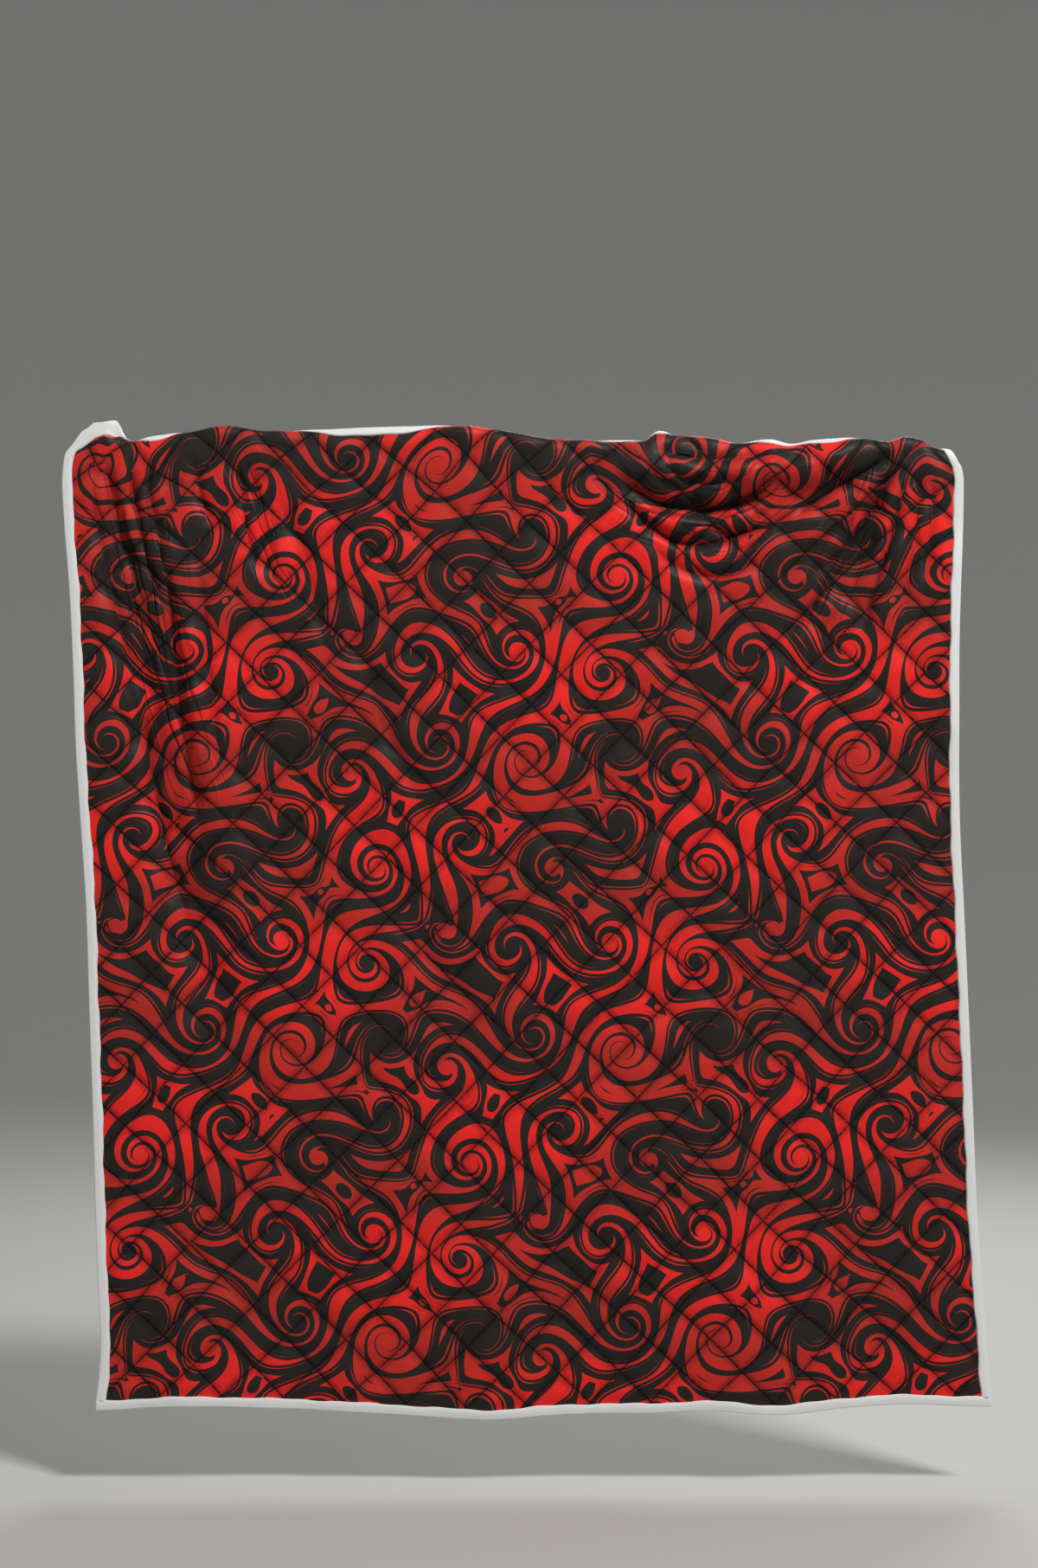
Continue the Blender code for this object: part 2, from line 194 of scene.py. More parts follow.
HEM_LINE = Line((
    (0.000, -2.201), (0.198, -2.190), (0.437, -2.198), (0.649, -2.208), (0.887, -2.220),
    (1.073, -2.210), (1.232, -2.208), (1.392, -2.201), (1.551, -2.210), (1.712, -2.194),
    (1.869, -2.188), (2.032, -2.192),
))

# How far the top corners are drawn sideways and up, by distance down the cloth's side
LEFT_SHIFT = Line((
    (0.000, 0.070), (0.030, 0.045), (0.064, 0.025), (0.098, 0.006), (0.131, 0.002),
    (0.165, 0.000), (0.350, 0.000),
))

LEFT_LIFT = Line((
    (0.000, -0.011), (0.030, -0.002), (0.064, 0.004), (0.098, 0.010), (0.131, 0.009),
    (0.165, 0.008), (0.350, 0.000),
))

RIGHT_SHIFT = Line((
    (0.000, -0.038), (0.040, -0.026), (0.070, -0.012), (0.086, -0.004), (0.120, 0.000),
))

# How much wider the top binding's front is by distance across, where its white shows at the
# standing corner
CORNER_PATCH = Line((
    (0.000, 0.067), (0.023, 0.060), (0.034, 0.040), (0.045, 0.024), (0.062, 0.019),
    (0.078, 0.011), (0.094, 0.009), (0.106, 0.004), (0.118, 0.000),
))

STANDS = (
    Stand(0.010, 0.094, 0.0),
    Stand(0.205, 0.080, 84.0),
    Stand(0.700, 0.215, 56.0),
    Stand(1.258, 0.070, 112.0),
    Stand(1.347, 0.034, 100.0),
    Stand(1.660, 0.150, 122.0),
    Stand(1.597, 0.084, 122.0),
    Stand(1.735, 0.085, 103.0),
)

MAIN_FOLDS = (
    # Swag between the two fixings at the right: its bulge, and the hollow under it
    Fold(1.205, 0.051, 1.535, 0.149, 1.874, 0.020, 0.034, 0.026),
    Fold(1.215, 0.086, 1.451, 0.313, 1.874, 0.037, 0.028, -0.010),
    # Folds that run down and left from the right fixing
    Fold(1.874, 0.022, 1.812, 0.213, 1.779, 0.457, 0.026, -0.014),
    Fold(1.909, 0.027, 1.863, 0.233, 1.828, 0.506, 0.028, 0.010),
    Fold(1.846, 0.115, 1.747, 0.369, 1.689, 0.643, 0.024, -0.008),
    # Long trough down from the left fixing, and the ridge beside it
    Fold(0.125, 0.022, 0.121, 0.702, 0.336, 1.483, 0.050, -0.020),
    Fold(0.225, 0.057, 0.245, 0.702, 0.476, 1.483, 0.055, 0.012),
    # Shallow troughs in the middle
    Fold(0.418, 0.027, 0.440, 0.193, 0.467, 0.369, 0.018, -0.007),
    Fold(0.636, 0.780, 0.710, 1.092, 0.987, 1.522, 0.045, -0.008),
    Fold(1.264, 1.356, 1.397, 1.249, 1.529, 1.200, 0.035, -0.008),
    # Right edge, which curls forward
    Fold(2.008, 0.193, 2.003, 0.448, 2.006, 0.780, 0.040, 0.010),
    # Waves along the hem
    Fold(0.198, 2.300, 0.200, 2.060, 0.210, 1.820, 0.080, 0.012),
    Fold(0.470, 2.300, 0.465, 2.080, 0.460, 1.880, 0.080, -0.008),
    Fold(0.887, 2.300, 0.880, 2.060, 0.860, 1.800, 0.090, 0.011),
    Fold(1.150, 2.300, 1.150, 2.100, 1.150, 1.900, 0.080, -0.008),
    Fold(1.480, 2.300, 1.485, 2.080, 1.500, 1.850, 0.080, 0.010),
    Fold(1.800, 2.300, 1.800, 2.100, 1.790, 1.900, 0.080, -0.008),
)

SMALL_FOLDS = (
    # Narrow upright creases under the standing corner
    Fold(0.065, 0.110, 0.080, 0.330, 0.140, 0.600, 0.012, -0.010),
    Fold(0.100, 0.050, 0.110, 0.180, 0.160, 0.330, 0.011, -0.011),
    Fold(0.125, 0.050, 0.140, 0.200, 0.190, 0.380, 0.011, 0.008),
    Fold(0.150, 0.040, 0.165, 0.200, 0.215, 0.420, 0.011, -0.013),
    Fold(0.188, 0.050, 0.212, 0.240, 0.245, 0.480, 0.011, -0.010),
    Fold(0.225, 0.300, 0.235, 0.620, 0.290, 0.950, 0.015, -0.013),
    Fold(0.262, 0.320, 0.268, 0.620, 0.318, 0.900, 0.014, 0.007),
    Fold(0.300, 0.250, 0.300, 0.500, 0.340, 0.800, 0.013, -0.010),
    Fold(0.395, 0.050, 0.405, 0.180, 0.430, 0.330, 0.011, -0.011),
    Fold(0.150, 0.560, 0.165, 0.850, 0.240, 1.150, 0.015, -0.012),
    # Nested creases in the swag
    Fold(1.330, 0.040, 1.470, 0.090, 1.640, 0.040, 0.011, -0.012),
    Fold(1.235, 0.075, 1.420, 0.265, 1.640, 0.085, 0.014, -0.020),
    Fold(1.245, 0.115, 1.420, 0.300, 1.630, 0.130, 0.013, 0.010),
    Fold(1.260, 0.150, 1.420, 0.340, 1.600, 0.180, 0.015, -0.017),
    Fold(1.300, 0.225, 1.440, 0.400, 1.600, 0.270, 0.014, -0.012),
    Fold(1.345, 0.060, 1.420, 0.150, 1.560, 0.090, 0.010, -0.012),
    Fold(1.400, 0.130, 1.500, 0.205, 1.620, 0.130, 0.010, -0.011),
    Fold(1.420, 0.195, 1.530, 0.262, 1.660, 0.180, 0.011, -0.012),
    # Creases that fan out from the right fixing
    Fold(1.880, 0.045, 1.760, 0.110, 1.640, 0.200, 0.012, -0.018),
    Fold(1.885, 0.050, 1.800, 0.150, 1.670, 0.270, 0.012, 0.010),
    Fold(1.890, 0.060, 1.820, 0.200, 1.700, 0.330, 0.012, -0.018),
    Fold(1.905, 0.070, 1.880, 0.240, 1.800, 0.480, 0.013, -0.017),
    Fold(1.930, 0.060, 1.935, 0.250, 1.890, 0.450, 0.012, -0.010),
    Fold(1.860, 0.120, 1.760, 0.330, 1.620, 0.480, 0.013, -0.013),
    Fold(1.960, 0.090, 1.965, 0.230, 1.945, 0.360, 0.011, -0.008),
    # Crease below the left fixing
    Fold(0.290, 0.040, 0.310, 0.120, 0.330, 0.230, 0.012, -0.009),
    # Slack that leans between the middle and the left fixings
    Fold(0.480, 0.120, 0.560, 0.300, 0.590, 0.560, 0.020, -0.008),
    Fold(0.640, 0.420, 0.700, 0.640, 0.820, 0.900, 0.024, -0.008),
)

# Bands of fine pulled creases that run beside a route. Width is how far to each side they go
# and rise is how deep they are, as a share of the deepest.
GATHERS = (
    Fold(1.225, 0.040, 1.430, 0.330, 1.680, 0.050, 0.075, 1.0),
    Fold(1.900, 0.030, 1.800, 0.230, 1.660, 0.470, 0.060, 0.9),
    Fold(0.130, 0.020, 0.160, 0.420, 0.300, 0.900, 0.080, 0.9),
    Fold(0.400, 0.020, 0.430, 0.200, 0.520, 0.420, 0.060, 0.5),
)

RED_EYE = 3.4
DARK_EYE = -0.3

WHORLS = (
    Whorl(0.086, 0.115, 2, 10.0, RED_EYE),
    Whorl(0.301, 0.090, -2, -6.0, DARK_EYE),
    Whorl(0.443, 0.147, -2, 6.5, RED_EYE),
    Whorl(0.644, 0.081, 2, -9.5, DARK_EYE),
    Whorl(0.138, 0.366, 2, -7.0, RED_EYE),
    Whorl(0.287, 0.274, -2, 5.0, DARK_EYE),
    Whorl(0.489, 0.366, 2, -10.5, RED_EYE),
    Whorl(0.690, 0.301, 2, 7.0, DARK_EYE),
    Whorl(0.034, 0.540, -2, 6.5, DARK_EYE),
    Whorl(0.259, 0.538, 2, -9.0, RED_EYE),
    Whorl(0.454, 0.584, -2, 10.0, DARK_EYE),
    Whorl(0.644, 0.506, -2, -3.0, RED_EYE),
)

SWELL_WAVES = (Wave(1, 1, 0.6), Wave(2, -1, 2.1), Wave(1, -2, 4.0), Wave(2, 1, 5.2))
TONE_WAVES = (Wave(1, 1, 1.1), Wave(1, -1, 0.4), Wave(0, 2, 3.0))

LAMPS = (
    Lamp("key", (5.0, -6.5, 8.2), 2.4, 1500.0),
    Lamp("fill", (-3.6, -5.0, 0.6), 3.5, 35.0),
    Lamp("back", (1.5, 4.5, 2.0), 3.0, 160.0),
)


def ease(t: Array) -> Array:
    """Smooth step from 0 to 1: three squares less two cubes."""
    t = np.clip(t, 0, 1)
    return t * t * (3 - 2 * t)


def beside_route(fold: Fold, across: Array, drop: Array) -> tuple[Array, Array, Array]:
    """Where each point lies beside a fold's route, and how strong the fold is there.

    The route is a quadratic Bezier line cut into short straight pieces. The strength is a bell
    curve of the distance from it that fades out smoothly at both ends.

    Args:
        fold: The fold.
        across: Distance across of each point.
        drop: Distance down of each point.

    Returns:
        The distance from the route, under 0 on one side, the share of the route's length, and
        the strength from 0 to 1.
    """
    pieces = 14
    fade = 0.22
    t = np.linspace(0, 1, pieces + 1)[:, None]
    first, middle, last = np.array(fold[:6]).reshape(3, 2)
    route = (1 - t) ** 2 * first + 2 * t * (1 - t) * middle + t * t * last
    nearest = np.full(np.shape(across), np.inf)
    along = np.zeros(np.shape(across))
    for piece, (start, end) in enumerate(zip(route[:-1], route[1:])):
        run = end - start
        to_across = across - start[0]
        to_drop = drop - start[1]
        share = np.clip((to_across * run[0] + to_drop * run[1]) / (run @ run), 0, 1)
        distance = np.hypot(to_across - share * run[0], to_drop - share * run[1])
        side = np.where(run[0] * to_drop < run[1] * to_across, -1.0, 1.0)
        closer = distance < np.abs(nearest)
        nearest = np.where(closer, side * distance, nearest)
        along = np.where(closer, (piece + share) / pieces, along)
    ends = ease(along / fade) * ease((1 - along) / fade)
    return nearest, along, np.exp(-((nearest / fold.width) ** 2)) * ends


def fold_relief(folds: tuple, across: Array, drop: Array) -> Array:
    """Sum of each fold's rise times its strength at each point, towards the front."""
    return sum(fold.rise * beside_route(fold, across, drop)[2] for fold in folds)


def unit(vectors: Array) -> Array:
    """Vectors of length 1 that point the same way."""
    return vectors / np.linalg.norm(vectors, axis=-1, keepdims=True)


def quads(numbers: Array) -> Array:
    """One row of four corners for each cell of a grid of point numbers."""
    corners = (numbers[:-1, :-1], numbers[:-1, 1:], numbers[1:, 1:], numbers[1:, :-1])
    return np.stack([corner.ravel() for corner in corners], axis=1)


@dataclass(frozen=True)
class Drape:
    """The cloth's middle surface as it hangs, with its turned top edge and its folds."""

    width: float = 2.032
    length: float = 2.286
    roll: float = 0.024
    usual_turn: float = 158.0
    stand_softness: float = 1.5
    unturned_top: float = 0.033
    settle: float = 0.250
    left_pull_reach: float = 0.260
    left_lift_reach: float = 0.080
    right_pull_reach: float = 0.120
    # Fold depth at which the painted shade in a hollow is full
    deepest: float = 0.019
    probe: float = 0.0005

    def turn(self, across: Array) -> Array:
        """How far the top edge is turned back.

        Args:
            across: Distance across of each point.

        Returns:
            The turn in radians.
        """
        turn = np.full(np.shape(across), self.usual_turn)
        for stand in STANDS:
            inside = np.clip(1 - ((across - stand.across) / stand.half_width) ** 2, 0, 1)
            turn = turn - (self.usual_turn - stand.turn) * inside**self.stand_softness
        return np.radians(np.clip(turn, 0, self.usual_turn))

    def hanging(self, across: Array, down: Array) -> tuple[Array, Array]:
        """Hang the flat cloth without its folds.

        The top is rolled back on a circle until the turn is used up. Below it the cloth hangs
        straight to the hem line, evenly stretched or slack, between the two side lines.

        Args:
            across, down: Cloth coordinates of each point.

        Returns:
            The points, and the height of each if the top were unrolled.
        """
        turn = self.turn(across)
        rolled = self.roll * turn
        start = TOP_LINE.at(across) - self.roll * np.sin(np.minimum(turn, np.pi / 2))
        scale = (self.unturned_top - HEM_LINE.at(across)) / self.length
        slack = self.unturned_top - rolled * scale - start
        settled = ease((down - rolled) / self.settle)
        unrolled = start - (down - rolled) * scale + slack * settled
        angle = np.maximum(rolled - down, 0) / self.roll
        height = np.where(down < rolled, start + self.roll * np.sin(angle), unrolled)
        left = LEFT_SIDE.at(-height)
        x = left + (RIGHT_SIDE.at(-height) - left) * across / self.width
        y = -self.roll * np.cos(angle)
        near_left = 1 - ease(across / self.left_pull_reach)
        near_right = 1 - ease((self.width - across) / self.right_pull_reach)
        x = x + near_left * LEFT_SHIFT.at(down) + near_right * RIGHT_SHIFT.at(down)
        lifted = 1 - ease(across / self.left_lift_reach)
        height = height + lifted * LEFT_LIFT.at(down)
        return np.stack((x, y, height), axis=-1), unrolled

    def facing(self, across: Array, down: Array) -> Array:
        """Which way the cloth without folds faces, by central differences.

        Args:
            across, down: Cloth coordinates of each point.

        Returns:
            Unit vectors out of the front.
        """
        step = self.probe
        over = self.hanging(across + step, down)[0] - self.hanging(across - step, down)[0]
        under = self.hanging(across, down + step)[0] - self.hanging(across, down - step)[0]
        return unit(np.cross(under, over))

    def middle(self, across: Array, down: Array) -> Array:
        """Points of the middle surface: the hung cloth moved along its facing by the folds.

        Args:
            across, down: Cloth coordinates of each point.

        Returns:
            The points.
        """
        base, unrolled = self.hanging(across, down)
        relief = fold_relief(MAIN_FOLDS + SMALL_FOLDS, across, -unrolled)
        return base + self.facing(across, down) * relief[..., None]

    def gathers(self, across: Array, down: Array, face: Face) -> dict[str, Array]:
        """What the finish needs to draw creases.

        Args:
            across, down: Cloth coordinates of each point.
            face: The face that is seen.

        Returns:
            Each band of fine creases by name, as distance from its route, place along it and
            strength, and how deep in a narrow fold each point lies, from 0 to 1, which sets the
            painted shade there.
        """
        drop = -self.hanging(across, down)[1]
        relief = fold_relief(SMALL_FOLDS, across, drop)
        # Painted shade: darkness in narrow fold hollows, full at the deepest
        bands = {"painted_hollow_shade": ease(-face * relief / self.deepest).ravel()}
        for number, band in enumerate(GATHERS):
            apart, along, strength = beside_route(band, across, drop)
            parts = (apart, along, band.rise * strength)
            bands[f"gather_{number}"] = np.stack(parts, axis=-1).reshape(-1, 3)
        return bands

    def layer(self, across: Array, down: Array, offset: Array) -> Array:
        """Points of a grid at an offset in front of (over 0) or behind the middle surface.

        The way out of the surface is the cross product of the grid's own two slopes.

        Args:
            across: Distance across, in a grid of rows.
            down: Distance down, in the same grid.
            offset: How far in front of the middle surface each point lies.

        Returns:
            The grid's points.
        """
        points = self.middle(across, down)
        over = self.middle(across + self.probe, down) - points
        under = self.middle(across, down + self.probe) - points
        return points + unit(np.cross(under, over)) * offset[..., None]


@dataclass(frozen=True)
class Quilting:
    """Diamonds of filling between two sets of stitch lines."""

    drape: Drape
    diamond: float = 0.1392
    crossing_across: float = 0.0752
    crossing_down: float = -0.0376
    front_crown: float = 0.0080
    back_crown: float = 0.0028
    seam_thickness: float = 0.004
    raw_edge: float = 0.0006
    edge_reach: float = 0.008
    binding: float = 0.023
    crown_start: float = 0.030
    roundness: float = 0.78
    unevenness: float = 0.22
    row_seed: float = 12.9898
    column_seed: float = 78.233
    narrowest: float = 3.0

    def from_edge(self, across: Array, down: Array) -> Array:
        """Distance in from the nearest raw edge.

        Args:
            across, down: Cloth coordinates of each point.

        Returns:
            The distance.
        """
        sides = np.minimum(across, self.drape.width - across)
        ends = np.minimum(down, self.drape.length - down)
        return np.minimum(sides, ends)

    def crown(self, across: Array, down: Array) -> Array:
        """How full the filling is, from 0 on a stitch line or the binding to 1 in a diamond.

        The two sines are multiplied and rounded by a power, and each diamond gets its own
        fullness from a sine of its row and column.

        Args:
            across, down: Cloth coordinates of each point.

        Returns:
            The fullness at each point.
        """
        from_left = across - self.crossing_across
        from_top = down - self.crossing_down
        falling = (from_left - from_top) / self.diamond
        rising = (from_left + from_top) / self.diamond
        full = np.abs(np.sin(np.pi * falling) * np.sin(np.pi * rising)) ** self.roundness
        own = np.sin(self.row_seed * np.floor(falling) + self.column_seed * np.floor(rising))
        inside = ease((self.from_edge(across, down) - self.binding) / self.crown_start)
        return full * (1 + self.unevenness * own) * inside

    def swollen(self, across: Array, down: Array, side: Array | Face) -> Array:
        """How far the filling pushes a face out.

        Args:
            across, down: Cloth coordinates of each point.
            side: Over 0 in front and under 0 behind.

        Returns:
            The distance at each point.
        """
        return np.where(side > 0, self.front_crown, self.back_crown) * self.crown(across, down)

    def offset(self, across: Array, down: Array, face: Face) -> Array:
        """Distance from the middle surface to a face, drawn in at the raw edge.

        Args:
            across, down: Cloth coordinates of each point.
            face: The face.

        Returns:
            The distance at each point.
        """
        inside = ease(self.from_edge(across, down) / self.edge_reach)
        seam = self.raw_edge + (self.seam_thickness / 2 - self.raw_edge) * inside
        return seam + self.swollen(across, down, face)

    def lines(self, length: float, crossing: float, cells: int) -> tuple[Array, Array]:
        """Grid lines in time with the diamonds, from one raw edge to the other.

        Args:
            length: The cloth's size in this direction.
            crossing: Where one crossing of the stitch lines lies.
            cells: Squares from one crossing to the next.

        Returns:
            The lines' places, and the whole number of each.
        """
        step = self.diamond / cells
        margin = step / self.narrowest
        first = int(np.ceil((margin - crossing) / step))
        last = int(np.floor((length - margin - crossing) / step))
        numbers = np.arange(first - 1, last + 2)
        places = crossing + numbers * step
        places[0] = self.raw_edge
        places[-1] = length - self.raw_edge
        return places, numbers

    def grid(self, cells: int) -> tuple[Array, Array, Array]:
        """A grid over the whole cloth and its triangles, cut along the stitch lines.

        Each square is cut along the diagonal that is parallel to the nearer stitch line.

        Args:
            cells: Squares from one crossing of the stitch lines to the next.

        Returns:
            Distances across and down of the grid's points, and the triangles' corners.
        """
        across, cols = self.lines(self.drape.width, self.crossing_across, cells)
        down, rows = self.lines(self.drape.length, self.crossing_down, cells)
        u, v = np.meshgrid(across, down)
        numbers = np.arange(u.size).reshape(u.shape)
        top_left, top_right, low_right, low_left = quads(numbers).T
        col, row = np.meshgrid(cols[:-1], rows[:-1])
        half = cells / 2
        from_falling = half - np.abs((col - row) % cells - half)
        from_rising = half - np.abs((col + row + 1) % cells - half)
        falls = (from_falling <= from_rising).ravel()[:, None]
        one = np.stack((top_left, low_left, low_right), axis=1)
        two = np.stack((top_left, low_right, top_right), axis=1)
        three = np.stack((top_left, low_left, top_right), axis=1)
        four = np.stack((top_right, low_left, low_right), axis=1)
        faces = np.concatenate((np.where(falls, one, three), np.where(falls, two, four)))
        return u, v, faces


@dataclass(frozen=True)
class WhorlPrint:
    """An all-over print of strokes that flow from whorl to whorl, on a slanted lattice."""

    across: float = 0.760
    down: float = 0.668
    drop: float = 0.190
    rows: int = 3
    swell_middle: float = 1.05
    swell_range: float = 0.62
    tone_contrast: float = 1.2
    least_reach: float = 1e-5

    def flow(self, across: Array, down: Array) -> tuple[Array, Array]:
        """The phase of the strokes at each point, and how fast it turns.

        The phase is the sum over all whorls of wind times the logarithm of the distance plus
        arms times the angle, which is the real part of (wind - i arms) log z. A row of copies
        adds up to log sin(pi z / repeat). A few rows are enough, as all winds and all arms
        cancel, and a slope down the cloth closes the small gap from one repeat to the next.

        Args:
            across, down: Cloth coordinates of each point.

        Returns:
            The phase in radians, and its slope in radians a metre.
        """
        repeat = np.floor(down / self.down)
        home = (across - repeat * self.drop) + 1j * (down - repeat * self.down)
        row_step = complex(self.drop, self.down)
        phase = np.zeros(np.shape(across))
        slope = np.zeros(np.shape(across), dtype=complex)
        moment = 0j
        for whorl in WHORLS:
            strength = whorl.wind - 1j * whorl.arms
            centre = complex(whorl.x, whorl.y)
            moment += strength * centre
            for row in range(-self.rows, self.rows + 1):
                turn = np.pi / self.across * (home - centre - row * row_step)
                phase = phase + (strength * np.log(np.sin(turn))).real
                slope = slope + strength * np.pi / self.across / np.tan(turn)
        gap = (TURN * 1j / self.across * moment).real
        gap = (gap + np.pi) % TURN - np.pi
        phase = phase - gap / self.down * home.imag
        return phase, np.abs(slope + 1j * gap / self.down)

    def closest(self, across: Array, down: Array) -> tuple[Array, Array, Array]:
        """Find the whorl closest to each point, among those of the repeats around it.

        Args:
            across, down: Cloth coordinates of each point.

        Returns:
            The whorl's row number in the table, and its distances across and down.
        """
        repeat = np.floor(down / self.down)
        shift = np.floor((across - repeat * self.drop) / self.across)
        corner_x = shift * self.across + repeat * self.drop
        corner_y = repeat * self.down
        nearest = np.full(np.shape(across), np.inf)
        number = np.zeros(np.shape(across), dtype=int)
        x = np.zeros(np.shape(across))
        y = np.zeros(np.shape(across))
        for (index, whorl), i, j in product(enumerate(WHORLS), (-1, 0, 1), (-1, 0, 1)):
            copy_x = corner_x + whorl.x + i * self.across + j * self.drop
            copy_y = corner_y + whorl.y + j * self.down
            distance = np.hypot(across - copy_x, down - copy_y)
            closer = distance < nearest
            nearest = np.where(closer, distance, nearest)
            number = np.where(closer, index, number)
            x = np.where(closer, copy_x, x)
            y = np.where(closer, copy_y, y)
        return number, x, y

    def strokes(self, across: Array, down: Array, faces: Array) -> dict[str, Array]:
        """What the finish needs at each face's corners to draw the strokes exactly.

        Each face belongs to the whorl closest to its middle. That whorl's own share of the
        phase turns fast, so the finish works it out from the way to the whorl, and only the
        smooth rest is stored. The pace is the phase's slope times the distance from the whorl.

        Args:
            across, down: Cloth coordinates of each point.
            faces: Rows of corners.

        Returns:
            The attributes by name: way (across, down, rest) and whorl (arms, wind, eye) as
            vectors, and the pace.
        """
        phase, slope = self.flow(across, down)
        number, x, y = self.closest(across[faces].mean(axis=1), down[faces].mean(axis=1))
        arms, wind, eye = np.array(WHORLS)[number, 2:].T[..., None]
        to_x = across[faces] - x[:, None]
        to_y = down[faces] - y[:, None]
        reach = np.maximum(np.hypot(to_x, to_y), self.least_reach)
        rest = phase[faces] - wind * np.log(reach) - arms * np.arctan2(to_y, to_x)
        rest = rest - TURN * np.round(rest[:, :1] / TURN)
        rest = rest - TURN * np.round((rest - rest[:, :1]) / TURN)
        pace = slope[faces] * reach
        same = np.ones_like(rest)
        way = np.stack((to_x, to_y, rest), axis=-1).reshape(-1, 3)
        own = np.stack((arms * same, wind * same, eye * same), axis=-1).reshape(-1, 3)
        return {"way": way, "whorl": own, "pace": pace.ravel()}

    def waves(self, table: tuple, across: Array, down: Array) -> Array:
        """Sum of slow waves in time with the repeat, about 1 high.

        Args:
            table: The waves.
            across, down: Cloth coordinates of each point.

        Returns:
            The sum at each point.
        """
        a = (across - self.drop * down / self.down) / self.across
        b = down / self.down
        total = sum(np.sin(TURN * (row.across * a + row.down * b) + row.start) for row in table)
        return total / np.sqrt(len(table) / 2)

    def swell(self, across: Array, down: Array) -> Array:
        """The strokes' half width, in radians of their phase."""
        return self.swell_middle + self.swell_range * self.waves(SWELL_WAVES, across, down)

    def tone(self, across: Array, down: Array) -> Array:
        """How bright the red is, from 0 to 1: the waves bent by a hyperbolic tangent."""
        waves = self.waves(TONE_WAVES, across, down)
        return 0.5 + 0.5 * np.tanh(self.tone_contrast * waves)


